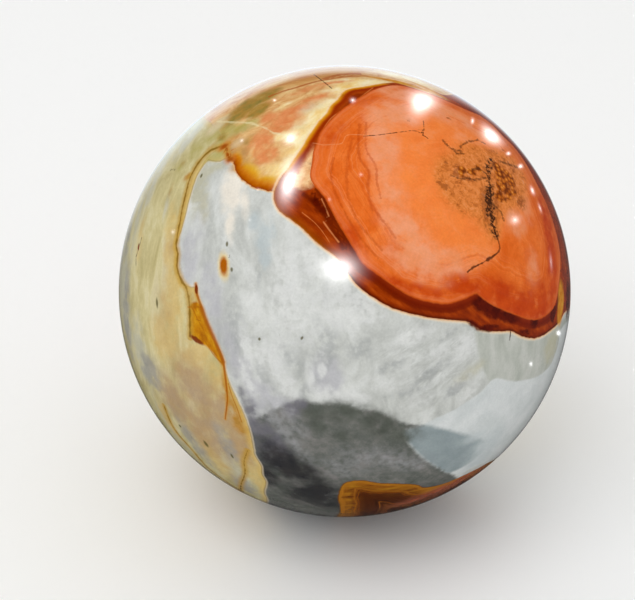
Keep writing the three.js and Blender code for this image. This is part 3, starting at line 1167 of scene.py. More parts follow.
@dataclass(frozen=True)
class Rim:
    """Colours that follow an edge: each stop is a depth in millimetres, a colour and a strength."""

    field: Field
    stops: tuple[tuple[float, str, float], ...]
    fine_mm: float = 0.4
    broad_mm: float = 0.0
    only_in: Field | None = None


@dataclass(frozen=True)
class Bands:
    """Fine lines that follow an edge at uneven depths, and fade out with depth."""

    field: Field
    period_mm: float
    depth_mm: float
    stops: tuple[tuple[float, str, float], ...]
    fine_mm: float = 0.6
    broad_mm: float = 3.0
    only_in: Field | None = None


@dataclass(frozen=True)
class Haze:
    """A colour that shows through in patches, whose outline the stone's clouds break up."""

    field: Field
    grain: Grain
    strength: float
    broken: float = 0.6
    edge: float = 0.8
    cloud_mm: float = 3.0
    within: Field | None = None


@dataclass(frozen=True)
class VeinLook:
    """How a family of veins is coloured. A negative growth keeps to the vein's core."""

    field: Field
    colour: str
    strength: float
    softness: float = 0.5
    growth_mm: float = 0.0
    fuzz_mm: float = 0.25
    fuzz_size_mm: float = 1.4
    broken: float = 0.0
    break_size_mm: float = 3.0


@dataclass(frozen=True)
class SpeckLook:
    """How a family of specks is coloured, by how far it reaches in half sizes."""

    field: Field
    colour: str
    strength: float
    reach: float = 1.0
    softness: float = 0.3


Layer = Zone | Rim | Bands | Haze | VeinLook | SpeckLook


def plain(hex_colour: str, other: str, size_mm: float = 4.0) -> Grain:
    """Makes a nearly even colour.

    Args:
        hex_colour: The main tone.
        other: The tone that it drifts to.
        size_mm: The size of the drift's clouds.

    Returns:
        The grain.
    """
    return Grain(((0.35, hex_colour), (0.65, other)), size_mm, size_mm)


SMOKE_GREY = Grain(
    ((0.30, "#AEB0AC"), (0.42, "#BEC0BB"), (0.50, "#C9CBC6"), (0.58, "#D2D4D0"), (0.70, "#DDDEDA")),
    across_mm=6.5, up_mm=13.0, turn_deg=8.0, detail=6.0, roughness=0.62, distortion=0.5,
)
FEATHER_GREY = Grain(
    ((0.32, "#B0B2AE"), (0.44, "#BEC0BB"), (0.52, "#C9CBC7"), (0.64, "#D8DAD7")),
    across_mm=6.5, up_mm=2.0, turn_deg=34.0, detail=6.0, roughness=0.68, distortion=0.8,
)
UNDER_BAND_GREY = Grain(
    ((0.32, "#B0B3AA"), (0.45, "#BABDB4"), (0.56, "#C2C4BC"), (0.70, "#CACBC4")),
    across_mm=2.6, up_mm=9.0, turn_deg=4.0,
)
# Slate grey with painted shade, for the ball's darker lower part
SLATE = Grain(
    ((0.30, "#54584F"), (0.43, "#626560"), (0.53, "#6F706B"), (0.68, "#827F7C")),
    across_mm=5.0, up_mm=4.0, turn_deg=-30.0, detail=6.0, roughness=0.7,
)
KHAKI_STONE = Grain(
    ((0.30, "#B6A974"), (0.42, "#C3B684"), (0.50, "#CEC290"), (0.60, "#D8CEA2"), (0.74, "#CCBF9A")),
    across_mm=3.6, up_mm=20.0, turn_deg=-4.0, detail=6.0, roughness=0.64, distortion=0.6,
)
WEDGE_STONE = Grain(
    ((0.30, "#C48850"), (0.43, "#D8A064"), (0.54, "#E4B67A"), (0.68, "#EDCC90")),
    across_mm=5.0, up_mm=2.4, turn_deg=34.0, detail=6.0, roughness=0.62, distortion=0.6,
)
CREAM_STONE = Grain(
    ((0.32, "#F2C878"), (0.45, "#F8DC9A"), (0.56, "#FCE8B2"), (0.70, "#FEF0C8")),
    across_mm=6.0, up_mm=2.4, turn_deg=50.0, detail=6.0,
)
ARC_STONE = Grain(
    ((0.32, "#B4682C"), (0.42, "#CC8A48"), (0.52, "#D49A58"), (0.66, "#DCAA66")),
    across_mm=16.0, up_mm=1.6, turn_deg=6.0, detail=6.0,
)
OLIVE_STONE = Grain(
    ((0.30, "#7E702C"), (0.42, "#947E36"), (0.52, "#A88034"), (0.64, "#B08C42"), (0.76, "#AEA254")),
    across_mm=4.0, up_mm=2.4, turn_deg=38.0, detail=6.0, roughness=0.6,
)
BROWN_BAND = Grain(
    ((0.30, "#7C2402"), (0.44, "#8E2E02"), (0.56, "#9E3804"), (0.70, "#B2480C")),
    across_mm=6.0, up_mm=1.5, turn_deg=-40.0, detail=6.0,
)
ORANGE_STONE = Grain(
    ((0.30, "#D85A14"), (0.43, "#E2661E"), (0.53, "#E97028"), (0.66, "#F07E38")),
    across_mm=4.0, up_mm=8.0, detail=6.0, roughness=0.7, distortion=0.5,
)
BRIGHT_ORANGE = Grain(
    ((0.30, "#EC7630"), (0.43, "#F2803C"), (0.53, "#F68A48"), (0.66, "#F69864")),
    across_mm=9.0, up_mm=6.0, detail=6.0, roughness=0.68, distortion=0.5, shift_mm=31.0,
)
VUG_STONE = Grain(
    ((0.30, "#9A4A1A"), (0.41, "#C66C2C"), (0.50, "#E0803A"), (0.60, "#EA8C48"), (0.72, "#E2A274")),
    across_mm=1.7, up_mm=1.7, detail=6.0, roughness=0.78, distortion=0.6,
)
AMBER_STONE = Grain(
    ((0.32, "#A46002"), (0.46, "#BC7604"), (0.58, "#C88A0C"), (0.72, "#D49A20")),
    across_mm=1.4, up_mm=3.4, turn_deg=16.0,
)
# The knobs of quartz in the hollow are drawn at their real size, a little over a millimetre
AMBER_KNOBS = Grain(
    ((0.0, "#F0A44C"), (0.22, "#DC8022"), (0.45, "#B4580C"), (0.7, "#6E2C04")),
    across_mm=1.2, up_mm=1.2, figure=Figure.CELLS,
)
OCHRE_STONE = Grain(
    ((0.30, "#5E3208"), (0.41, "#865010"), (0.52, "#A46A18"), (0.64, "#B8801E")),
    across_mm=8.0, up_mm=1.6, turn_deg=8.0, detail=6.0, distortion=1.0,
)

# Painted in this order, each over what is already there
LAYERS: tuple[Layer, ...] = (
    Haze(Field.FEATHERS, FEATHER_GREY, 0.9, broken=0.4),
    Haze(Field.LILAC, plain("#B0AFB6", "#BAB9BE"), 0.7),
    Haze(Field.SMOKE, plain("#B2BEC2", "#BCC6C8"), 0.65, broken=0.8),
    Haze(Field.DARK_WISPS, plain("#9C9F9E", "#A8AAA9"), 0.65, broken=0.9, cloud_mm=1.6),
    Haze(Field.PALE_WISPS, plain("#E2E3E0", "#DADBD9"), 0.75, broken=0.7, cloud_mm=1.6),
    Haze(Field.CREAM_STREAK, plain("#F2EADC", "#EAE2D4"), 0.88, broken=0.4),
    Zone(Field.UNDER_BAND, UNDER_BAND_GREY, softness_mm=0.6),
    Haze(Field.GREEN_GREY, plain("#BAB69A", "#C2BEA6"), 0.75),
    # Painted reflection: the pale patch in the lower right, with fine lines where it runs round the
    # hidden side
    Zone(Field.VEIL, plain("#CDD2D1", "#DCDFDE", 6.0), softness_mm=0.4, fine_mm=0.6),
    Bands(Field.VEIL, 3.6, 40.0, (
        (0.34, "#9CA3A4", 0.6), (0.43, "#B4BABA", 0.4), (0.49, "#CDD2D1", 0), (0.56, "#E2E2DC", 0.4),
        (0.65, "#F0ECE0", 0.7),
    ), only_in=Field.HIDDEN),
    # Painted reflection in bluish grey, and its fade into the pale painted reflection
    Zone(Field.BLUE_VEIL, plain("#8D999B", "#98A3A5"), softness_mm=0.8, fine_mm=0.8),
    Haze(
        Field.BLUE_FADE, plain("#BFC7C8", "#C9D0D0", 5.0), 0.92, broken=0.3, edge=1.2,
        within=Field.VEIL,
    ),
    # The darker lower part: the stone's slate grey and painted shade
    Zone(Field.SLATE, SLATE, softness_mm=0.8, fine_mm=1.6, broad_mm=1.0),
    Bands(Field.SLATE, 3.0, 30.0, (
        (0.34, "#2E2E32", 0.7), (0.42, "#484A48", 0.4), (0.48, "#686B66", 0), (0.56, "#8C8A84", 0.4),
        (0.64, "#A8A49C", 0.6),
    ), only_in=Field.HIDDEN),
    Haze(Field.GREEN_SLATE, plain("#4C5048", "#5C6058", 3.0), 0.85, edge=1.0),
    # Dim grey: the stone's grey and painted shade in the lower left
    Haze(Field.DUSK, plain("#6A6870", "#7C7A80"), 0.92, edge=1.0),
    Haze(Field.SLATE_WISPS, plain("#A6A6A8", "#8E8E8E"), 0.62, broken=0.8, edge=1.0, cloud_mm=1.6),
    # Darkest grey low on the ball: dark slate and painted shade
    Haze(Field.DARK_SLATE, plain("#26262A", "#323030"), 0.94, broken=0.4, edge=1.0, cloud_mm=4.0),
    Zone(Field.OCHRE, OCHRE_STONE, softness_mm=0.35),
    Rim(Field.OCHRE, (
        (-0.3, "#3E2C14", 0), (0.05, "#6A3A0A", 0.7), (0.4, "#B07420", 0.75), (1.0, "#B87C20", 0.4),
        (1.6, "#A06A18", 0),
    )),
    # Darker deep in the ochre, towards the ball's underside: partly the ochre's own dark core, partly
    # painted shade
    Rim(Field.OCHRE, (
        (2.6, "#6A3408", 0), (4.4, "#5A2606", 0.85), (7.0, "#421602", 0.95), (30.0, "#381206", 0.95),
    )),
    Bands(Field.OCHRE, 2.6, 30.0, (
        (0.36, "#240C02", 0.75), (0.45, "#4E2004", 0), (0.54, "#84440E", 0.35), (0.62, "#B4701C", 0.7),
    ), fine_mm=1.0),
    # Painted reflection, warm reddish-pink, kept inside the ochre
    Haze(
        Field.OCHRE_RED, plain("#9A5038", "#AC6248", 3.0), 0.88, broken=0.3, edge=1.0,
        within=Field.OCHRE,
    ),
    Zone(Field.KHAKI, KHAKI_STONE, softness_mm=0.3),
    # Grey: the khaki's tone, and painted limb reflection at the left outline
    Haze(Field.KHAKI_GREY, plain("#BAB8A4", "#C8C5B0"), 0.75, within=Field.KHAKI),
    Haze(Field.KHAKI_YELLOW, plain("#CFAE68", "#DBC07E"), 0.75, within=Field.KHAKI),
    Haze(Field.KHAKI_PINK, plain("#B4946C", "#AA8E72"), 0.85, broken=0.35, edge=1.0, within=Field.KHAKI),
    # Lilac grey: the khaki's tone, and painted limb shade and reflection at the left outline
    Haze(Field.KHAKI_LILAC, plain("#92908C", "#A2A098"), 0.75, within=Field.KHAKI),
    Haze(Field.KHAKI_GOLD, plain("#B07E2C", "#C08E44", 2.0), 0.9, within=Field.KHAKI),
    Bands(Field.KHAKI, 4.4, 70.0, (
        (0.34, "#8A6428", 0.6), (0.42, "#B08C48", 0.35), (0.48, "#C8B484", 0), (0.55, "#DCD0A8", 0.2),
        (0.63, "#E6DCBC", 0.45),
    ), only_in=Field.HIDDEN),
    Rim(Field.KHAKI, (
        (-0.7, "#E2D2B4", 0), (-0.3, "#E2D2B4", 0.6), (0.0, "#A88440", 0.6), (0.35, "#D6B464", 0.6),
        (1.0, "#D2B062", 0.5), (2.0, "#C6A860", 0),
    )),
    Zone(Field.WEDGE, WEDGE_STONE, softness_mm=0.6, fine_mm=0.8),
    Haze(Field.KHAKI_GREEN, plain("#AEA456", "#B8AC70"), 0.82, broken=0.5),
    Haze(Field.ARCS, ARC_STONE, 0.95, broken=0.2),
    Haze(Field.OLIVE, OLIVE_STONE, 0.95, broken=0.25, edge=0.5),
    Haze(Field.WEDGE_TAN, plain("#B88A54", "#CC9A54", 2.5), 0.9),
    Haze(Field.WEDGE_CREAM, CREAM_STONE, 0.95, broken=0.4, edge=0.7),
    Haze(Field.SALMON, plain("#DC7E48", "#E4925C", 2.0), 0.9, broken=0.5, cloud_mm=2.4),
    Haze(Field.MIST, plain("#DCD4B0", "#E8D2AE", 2.0), 0.75, broken=0.4, edge=1.0),
    Bands(Field.WEDGE, 3.0, 26.0, (
        (0.34, "#A85A1C", 0.6), (0.42, "#CC8844", 0.3), (0.48, "#E0B070", 0), (0.56, "#F0D8A0", 0.3),
        (0.64, "#FAE8C0", 0.6),
    ), only_in=Field.HIDDEN),
    Rim(Field.WEDGE, (
        (-0.5, "#E8CBA0", 0), (-0.15, "#E2B070", 0.8), (0.1, "#943E00", 1), (0.8, "#B45A00", 1),
        (1.6, "#C87200", 0.95), (2.8, "#DA980C", 0.9), (4.6, "#E6BC28", 0.85), (8.0, "#EBCB50", 0),
    ), fine_mm=1.0, broad_mm=1.4, only_in=Field.WEDGE_FOOT),
    Zone(Field.SLIVER, AMBER_STONE, softness_mm=0.4),
    VeinLook(Field.ARC_LINES, "#B25C24", 0.8, softness=0.7, growth_mm=0.15, fuzz_mm=0.6, broken=0.2),
    VeinLook(Field.PALE_VEINS, "#F2E6B4", 0.55, softness=0.9, fuzz_mm=1.0, broken=0.6),
    Rim(Field.BAND, (
        (-0.9, "#F4DDBC", 0), (-0.45, "#F4D8B0", 0.6), (-0.15, "#E6A664", 0.8), (0.0, "#C98038", 0.8),
        (0.2, "#C98038", 0),
    ), fine_mm=0.5),
    Zone(Field.BAND, BROWN_BAND, softness_mm=0.16),
    Bands(Field.BAND, 2.0, 24.0, (
        (0.35, "#4A1200", 0.9), (0.44, "#741E00", 0.5), (0.49, "#A63C06", 0), (0.55, "#C87018", 0.6),
        (0.63, "#E8B060", 0.9),
    ), only_in=Field.HIDDEN),
    Haze(Field.BAND_PEACH, plain("#FAD29C", "#E8AC70", 1.5), 0.95, broken=0.4, edge=0.6, cloud_mm=1.6),
    Rim(Field.BAND, (
        (0.0, "#541400", 0.95), (0.35, "#641A00", 0.9), (0.8, "#842600", 0.5), (1.4, "#842600", 0),
    ), only_in=Field.BAND_LOWER),
    Rim(Field.BAND, (
        (0.0, "#A8600A", 1.0), (0.4, "#923E02", 0.9), (1.1, "#9A4204", 0.5), (2.0, "#9A4204", 0),
    ), only_in=Field.BAND_LEFT),
    Rim(Field.BAND, (
        (-0.2, "#F0B850", 0.6), (0.1, "#DC9420", 1.0), (0.55, "#CC7408", 1.0), (0.9, "#B04808", 1.0),
        (1.3, "#962C00", 1), (1.9, "#9E3204", 0.9), (2.5, "#B04408", 0.6), (3.2, "#B84C10", 0),
    ), fine_mm=0.3, only_in=Field.BAND_UPPER),
    VeinLook(Field.BAND_STRIPES, "#641800", 0.8, softness=0.8),
    VeinLook(Field.BAND_HAIRS, "#E08040", 0.6, softness=0.7, broken=0.4),
    VeinLook(Field.BAND_GLINTS, "#E08A50", 0.7, softness=0.8, broken=0.3),
    Rim(Field.EYE, (
        (-2.5, "#7A2200", 0), (-2.0, "#701A00", 0.8), (-1.2, "#701800", 0.95), (-0.5, "#7E2204", 0.95),
        (-0.12, "#8A2806", 1), (0.1, "#8A2806", 0),
    ), broad_mm=0.5, only_in=Field.BAND_LOWER),
    Haze(Field.BAND_DARK, plain("#440600", "#5E1200", 2.0), 0.97, broken=0.4, edge=0.5, cloud_mm=1.6),
    Haze(Field.BAND_GOLD, plain("#CC7C10", "#E0A030", 2.0), 0.97, broken=0.3, edge=0.5),
    Zone(Field.EYE, ORANGE_STONE, softness_mm=0.16, fine_mm=0.3),
    Zone(Field.HEART, BRIGHT_ORANGE, softness_mm=2.2, fine_mm=2.0, broad_mm=2.0),
    Bands(Field.EYE, 2.6, 16.0, (
        (0.36, "#CC480C", 0.5), (0.44, "#D65A18", 0.25), (0.49, "#E87838", 0), (0.55, "#F08A50", 0.2),
        (0.62, "#F4A070", 0.4),
    )),
    Rim(Field.EYE, (
        (0.0, "#9C340A", 0.8), (0.22, "#BC4812", 0.6), (0.6, "#D05418", 0.35), (2.4, "#D45816", 0.25),
        (6.0, "#DC6222", 0),
    ), fine_mm=0.3),
    # Deeper red: the eye's tone, and painted limb shade along the right outline
    Haze(Field.EYE_RED, plain("#BA3402", "#CC480C"), 0.9, within=Field.EYE),
    Haze(Field.EYE_BLAZE, plain("#FA8A40", "#F4803A"), 0.7, within=Field.EYE),
    # Paler salmon: the eye's tone and painted glow of reflections
    Haze(Field.EYE_SALMON, plain("#F2A47E", "#EE9868"), 0.8, within=Field.EYE),
    VeinLook(
        Field.EYE_LINES, "#B8440E", 0.5, softness=0.95, growth_mm=0.1, fuzz_mm=1.2, fuzz_size_mm=0.8,
        broken=0.6,
    ),
    VeinLook(
        Field.EYE_LINES_NEXT, "#BC4812", 0.45, softness=0.95, growth_mm=0.1, fuzz_mm=1.2,
        fuzz_size_mm=0.8, broken=0.6,
    ),
    VeinLook(Field.EYE_VEINS, "#F4A870", 0.35, softness=0.8, broken=0.6),
    Zone(Field.VUG, VUG_STONE, softness_mm=2.4, fine_mm=3.0, broad_mm=3.0),
    Haze(Field.SMUDGES, plain("#86401E", "#AA5A22", 1.5), 0.75, broken=1.2, cloud_mm=0.8),
    Haze(Field.LUMPS, AMBER_KNOBS, 0.95, broken=0.6, edge=0.4, cloud_mm=1.6),
    VeinLook(
        Field.DENDRITES, "#8A4C24", 0.6, softness=0.6, growth_mm=0.5, fuzz_mm=6.0, fuzz_size_mm=0.8,
        broken=1.4, break_size_mm=0.6,
    ),
    VeinLook(
        Field.DENDRITES, "#301A10", 0.92, softness=0.5, growth_mm=-0.1, fuzz_mm=5.0, fuzz_size_mm=0.8,
        broken=1.2, break_size_mm=0.6,
    ),
    VeinLook(
        Field.TWIGS, "#5E3418", 0.75, softness=0.7, growth_mm=0.1, fuzz_mm=1.6, fuzz_size_mm=0.7,
        broken=1.0, break_size_mm=0.8,
    ),
    VeinLook(Field.DARK_CRACKS, "#341408", 0.85, softness=0.6, fuzz_mm=0.6, fuzz_size_mm=0.7, broken=0.3),
    VeinLook(Field.KHAKI_BORDER, "#A08A40", 0.5, softness=0.8, broken=0.3),
    VeinLook(Field.KHAKI_VEINS, "#BC9030", 0.75, softness=0.8, growth_mm=0.75, fuzz_mm=0.8, broken=0.1),
    VeinLook(Field.KHAKI_VEINS, "#805E12", 0.85, softness=0.7, fuzz_mm=0.8, broken=0.3),
    VeinLook(Field.AMBER_VEINS, "#C88A1C", 0.6, softness=0.8, growth_mm=0.3),
    VeinLook(Field.AMBER_THREADS, "#A86404", 0.7, softness=0.8, broken=0.3),
    VeinLook(Field.AMBER_VEINS, "#A05202", 0.85, softness=0.7, broken=0.2),
    SpeckLook(Field.OCHRE_SPECKS, "#E8CC84", 0.8, reach=1.5, softness=0.4),
    SpeckLook(Field.OCHRE_SPECKS, "#AC5C08", 1.0, softness=0.4),
    SpeckLook(Field.RUST_SPECKS, "#CC7C34", 0.55, reach=1.9, softness=0.5),
    SpeckLook(Field.RUST_SPECKS, "#A04C08", 0.9, softness=0.6),
    SpeckLook(Field.BROWN_SPECKS, "#7A2E06", 0.95),
    SpeckLook(Field.OLIVE_SPECKS, "#5A542A", 0.85, softness=0.5),
)


# Settings of a range with soft ends, which needs no clamp
SOFT: dict[str, object] = {"interpolation_type": "SMOOTHSTEP", "clamp": False}


@dataclass
class StonePainter:
    """Paints the layers of the stone over one another with nodes.

    None of its nodes clamps: each clamp would make its layer wait for all the others, and the
    material would grow too big to render.

    The ground is the grain of the stone under all the markings, and the grains lie in the plane
    that the photograph looks at. On the hidden side, each stray swing has the size of its noise
    and how far it takes an edge.
    """

    tree: bpy.types.NodeTree
    view: Viewpoint
    ground: Grain
    fine_swing_mm: float = 1.4
    broad_swing_mm: float = 8.0
    swing_detail: float = 4.0
    stray_swings_mm: tuple[tuple[float, float], ...] = ((16.0, 22.0), (5.0, 7.0))
    patch_edge: tuple[float, float] = (0.3, 0.7)
    zone_edge_mm: tuple[float, float] = (0.0, 0.5)
    bands_start_mm: tuple[float, float] = (0.1, 0.6)
    bands_full_share: float = 0.4
    bands_detail: float = 4.0
    bands_roughness: float = 0.7
    vein_end_mm: tuple[float, float] = (0.8, 0.5)
    speck_swing: float = 0.7
    breaks_per_swing: float = 4.0

    def __post_init__(self) -> None:
        """Starts from the stone that lies under all the markings."""
        self.sockets: dict[Field, bpy.types.Node] = {}
        self.swings: dict[float, Socket] = {}
        self.place = add_node(self.tree, "TexCoord").outputs["Object"]
        self.fine = self.wander(self.fine_swing_mm)
        self.broad = self.wander(self.broad_swing_mm)
        self.astray = self.stray()
        self.colour = self.grain(self.ground)

    def wander(self, size_mm: float) -> Socket:
        """Adds an even noise that swings about zero, or finds the one already there.

        Args:
            size_mm: The size of its swings.

        Returns:
            The output that carries it, from about -0.5 to 0.5.
        """
        if size_mm not in self.swings:
            noise = add_node(self.tree, "TexNoise", {
                "Vector": self.place, "Scale": 1 / (size_mm * MM), "Detail": self.swing_detail,
            })
            swing = add_node(self.tree, "Math", {0: noise.outputs[0], 1: 0.5}, operation="SUBTRACT")
            self.swings[size_mm] = swing.outputs[0]
        return self.swings[size_mm]

    def stray(self) -> Socket:
        """Adds the winding of the edges on the hidden side, where no photograph fixes them.

        Returns:
            The output that carries it, in millimetres.
        """
        total: Socket | float = 0.0
        for size_mm, reach_mm in self.stray_swings_mm:
            total = add_node(self.tree, "Math", {
                0: self.wander(size_mm), 1: reach_mm, 2: total,
            }, operation="MULTIPLY_ADD").outputs[0]
        return self.product(total, self.attribute(Field.HIDDEN).outputs["Fac"])

    def attribute(self, field: Field) -> bpy.types.Node:
        """Adds the node that reads an attribute of the mesh, or finds the one already there.

        Args:
            field: The attribute.

        Returns:
            The node.
        """
        if field not in self.sockets:
            self.sockets[field] = add_node(
                self.tree, "Attribute", attribute_type="GEOMETRY", attribute_name=field.value,
            )
        return self.sockets[field]

    def uneven(self, value: Socket, fine_mm: float, broad_mm: float) -> Socket:
        """Lets a distance wander a little, as an edge in real stone does.

        Args:
            value: The distance.
            fine_mm: How far small swings take it.
            broad_mm: How far large swings take it.

        Returns:
            The uneven distance.
        """
        for swing, reach in ((self.fine, fine_mm), (self.broad, broad_mm), (self.astray, 1.0)):
            if reach:
                value = add_node(self.tree, "Math", {
                    0: swing, 1: reach, 2: value,
                }, operation="MULTIPLY_ADD").outputs[0]
        return value

    def grain(self, grain: Grain) -> Socket:
        """Adds the colour of a grain.

        Args:
            grain: The grain.

        Returns:
            The output that carries the colour.
        """
        tilt = Matrix.Rotation(math.radians(90 - self.view.elevation_deg), 3, "X")
        turn = Matrix.Rotation(math.radians(grain.turn_deg), 3, "Z")
        deep_mm = math.sqrt(grain.across_mm * grain.up_mm)
        centre = Vector(self.view.ball_centre_m) + Vector((grain.shift_mm, grain.shift_mm, 0)) * MM
        local = add_node(self.tree, "Mapping", {
            "Vector": self.place,
            "Location": centre,
            "Rotation": (tilt @ turn).to_euler(),
            "Scale": (grain.across_mm * MM, grain.up_mm * MM, deep_mm * MM),
        }, vector_type="TEXTURE")
        if grain.figure is Figure.CELLS:
            pattern = add_node(self.tree, "TexVoronoi", {"Vector": local.outputs[0], "Scale": 1.0})
        else:
            pattern = add_node(self.tree, "TexNoise", {
                "Vector": local.outputs[0], "Scale": 1.0, "Detail": grain.detail,
                "Roughness": grain.roughness, "Distortion": grain.distortion,
            })
        stops = tuple((place, linear(colour)) for place, colour in grain.tones)
        return add_node(self.tree, "ValToRGB", {0: pattern.outputs[0]}, stops=stops).outputs[0]

    def product(self, first: Socket, second: Socket | float) -> Socket:
        """Returns one strength weakened by another."""
        return add_node(self.tree, "Math", {0: first, 1: second}, operation="MULTIPLY").outputs[0]

    def kept_in(self, strength: Socket, field: Field | None) -> Socket:
        """Keeps a strength inside the patches of a field.

        Args:
            strength: The strength.
            field: The patches, or None for everywhere.

        Returns:
            The strength that is left.
        """
        if field is None:
            return strength
        first, last = self.patch_edge
        gate = add_node(self.tree, "MapRange", {
            "Value": self.attribute(field).outputs["Fac"], "From Min": first, "From Max": last,
        }, **SOFT)
        return self.product(strength, gate.outputs[0])

    def cover(self, colour: Socket | tuple, strength: Socket) -> None:
        """Paints a colour over what is there.

        Args:
            colour: The colour.
            strength: How much of what is there it hides.
        """
        self.colour = add_node(
            self.tree, "Mix", {0: strength, 6: self.colour, 7: colour}, data_type="RGBA",
        ).outputs[2]

    def paint_zone(self, zone: Zone) -> None:
        """Fills a closed edge with its stone.

        Args:
            zone: The kind of stone.
        """
        depth = self.uneven(self.attribute(zone.field).outputs["Fac"], zone.fine_mm, zone.broad_mm)
        strength = add_node(self.tree, "MapRange", {
            "Value": depth, "From Min": -zone.softness_mm, "From Max": zone.softness_mm,
        }, **SOFT).outputs[0]
        self.cover(self.grain(zone.grain), strength)

    def ramp_over(self, value: Socket, stops: tuple[tuple[float, str, float], ...]) -> bpy.types.Node:
        """Adds a run of colours over a measured value.

        Args:
            value: The value that the colours follow.
            stops: For each colour, the value where it stands, its hex and its strength.

        Returns:
            The ramp, with the colour and its strength as outputs.
        """
        low = stops[0][0]
        high = stops[-1][0]
        share = add_node(self.tree, "MapRange", {
            "Value": value, "From Min": low, "From Max": high,
        }, clamp=False)
        ramp_stops = tuple(
            ((place - low) / (high - low), linear(colour, alpha)) for place, colour, alpha in stops
        )
        return add_node(self.tree, "ValToRGB", {0: share.outputs[0]}, stops=ramp_stops)

    def paint_rim(self, rim: Rim) -> None:
        """Paints the colours that follow an edge.

        Args:
            rim: The colours.
        """
        depth = self.uneven(self.attribute(rim.field).outputs["Fac"], rim.fine_mm, rim.broad_mm)
        ramp = self.ramp_over(depth, rim.stops)
        within = add_node(self.tree, "Math", {0: depth, 1: rim.stops[0][0]}, operation="GREATER_THAN")
        strength = self.product(ramp.outputs["Alpha"], within.outputs[0])
        self.cover(ramp.outputs["Color"], self.kept_in(strength, rim.only_in))

    def paint_bands(self, bands: Bands) -> None:
        """Paints fine lines that follow an edge.

        Args:
            bands: The lines.
        """
        raw = self.attribute(bands.field).outputs["Fac"]
        depth = self.uneven(raw, bands.fine_mm, bands.broad_mm)
        steps = self.product(depth, 1 / bands.period_mm)
        noise = add_node(self.tree, "TexNoise", {
            "W": steps, "Scale": 1.0, "Detail": self.bands_detail, "Roughness": self.bands_roughness,
        }, noise_dimensions="1D")
        ramp = self.ramp_over(noise.outputs[0], bands.stops)
        strength = ramp.outputs["Alpha"]
        bands_end_mm = (bands.depth_mm, bands.depth_mm * self.bands_full_share)
        for first, last in (self.bands_start_mm, bands_end_mm):
            fade = add_node(self.tree, "MapRange", {
                "Value": raw, "From Min": first, "From Max": last,
            }, **SOFT)
            strength = self.product(strength, fade.outputs[0])
        self.cover(ramp.outputs["Color"], self.kept_in(strength, bands.only_in))

    def breaks(self, size_mm: float, broken: float) -> Socket:
        """Adds a factor that swings about one and breaks a strength up.

        Args:
            size_mm: The size of its swings.
            broken: How far it swings.

        Returns:
            The output that carries it.
        """
        return add_node(self.tree, "Math", {
            0: self.wander(size_mm), 1: broken * self.breaks_per_swing, 2: 1.0,
        }, operation="MULTIPLY_ADD").outputs[0]

    def paint_haze(self, haze: Haze) -> None:
        """Lets a colour show through in soft patches.

        Args:
            haze: The colour and its patches.
        """
        swing = self.breaks(haze.cloud_mm, haze.broken)
        uneven = self.product(self.attribute(haze.field).outputs["Fac"], swing)
        strength = add_node(self.tree, "MapRange", {
            "Value": uneven, "From Min": 0.5 - haze.edge / 2, "From Max": 0.5 + haze.edge / 2,
            "To Max": haze.strength,
        }, **SOFT).outputs[0]
        if haze.within:
            first, last = self.zone_edge_mm
            inside = add_node(self.tree, "MapRange", {
                "Value": self.attribute(haze.within).outputs["Fac"], "From Min": first, "From Max": last,
            }, **SOFT)
            strength = self.product(strength, inside.outputs[0])
        self.cover(self.grain(haze.grain), strength)

    def paint_veins(self, look: VeinLook) -> None:
        """Colours a family of veins.

        Args:
            look: The veins' look.
        """
        parts = add_node(self.tree, "SeparateXYZ", {
            0: self.attribute(look.field).outputs["Vector"],
        })
        aside = add_node(self.tree, "Math", {0: parts.outputs[0]}, operation="ABSOLUTE")
        uneven = add_node(self.tree, "Math", {
            0: self.wander(look.fuzz_size_mm), 1: look.fuzz_mm, 2: aside.outputs[0],
        }, operation="MULTIPLY_ADD")
        half = add_node(self.tree, "Math", {
            0: parts.outputs[2], 1: 0.5, 2: look.growth_mm,
        }, operation="MULTIPLY_ADD")
        ratio = add_node(self.tree, "Math", {
            0: uneven.outputs[0], 1: half.outputs[0],
        }, operation="DIVIDE")
        line = add_node(self.tree, "MapRange", {
            "Value": ratio.outputs[0], "From Min": 1 + look.softness, "From Max": 1 - look.softness,
        }, **SOFT)
        spare = add_node(self.tree, "Math", {
            0: parts.outputs[1], 1: half.outputs[0],
        }, operation="SUBTRACT")
        first, last = self.vein_end_mm
        gate = add_node(self.tree, "MapRange", {
            "Value": spare.outputs[0], "From Min": first, "From Max": last,
        }, **SOFT)
        strength = self.product(line.outputs[0], gate.outputs[0])
        swing = self.breaks(look.break_size_mm, look.broken)
        breaks = add_node(self.tree, "Math", {0: swing, 1: 1.0}, operation="MINIMUM")
        strength = self.product(strength, breaks.outputs[0])
        self.cover(linear(look.colour), self.product(strength, look.strength))

    def paint_specks(self, look: SpeckLook) -> None:
        """Colours a family of specks.

        Args:
            look: The specks' look.
        """
        reach = add_node(self.tree, "VectorMath", {
            0: self.attribute(look.field).outputs["Vector"],
        }, operation="LENGTH")
        uneven = add_node(self.tree, "Math", {
            0: self.fine, 1: self.speck_swing, 2: reach.outputs["Value"],
        }, operation="MULTIPLY_ADD")
        strength = add_node(self.tree, "MapRange", {
            "Value": uneven.outputs[0], "From Min": look.reach * (1 + look.softness),
            "From Max": look.reach * (1 - look.softness), "To Max": look.strength,
        }, **SOFT)
        self.cover(linear(look.colour), strength.outputs[0])

    def paint(self, layer: Layer) -> None:
        """Paints one layer by its kind.

        Args:
            layer: The layer.
        """
        painters = {
            Zone: self.paint_zone, Rim: self.paint_rim, Bands: self.paint_bands, Haze: self.paint_haze,
            VeinLook: self.paint_veins, SpeckLook: self.paint_specks,
        }
        painters[type(layer)](layer)

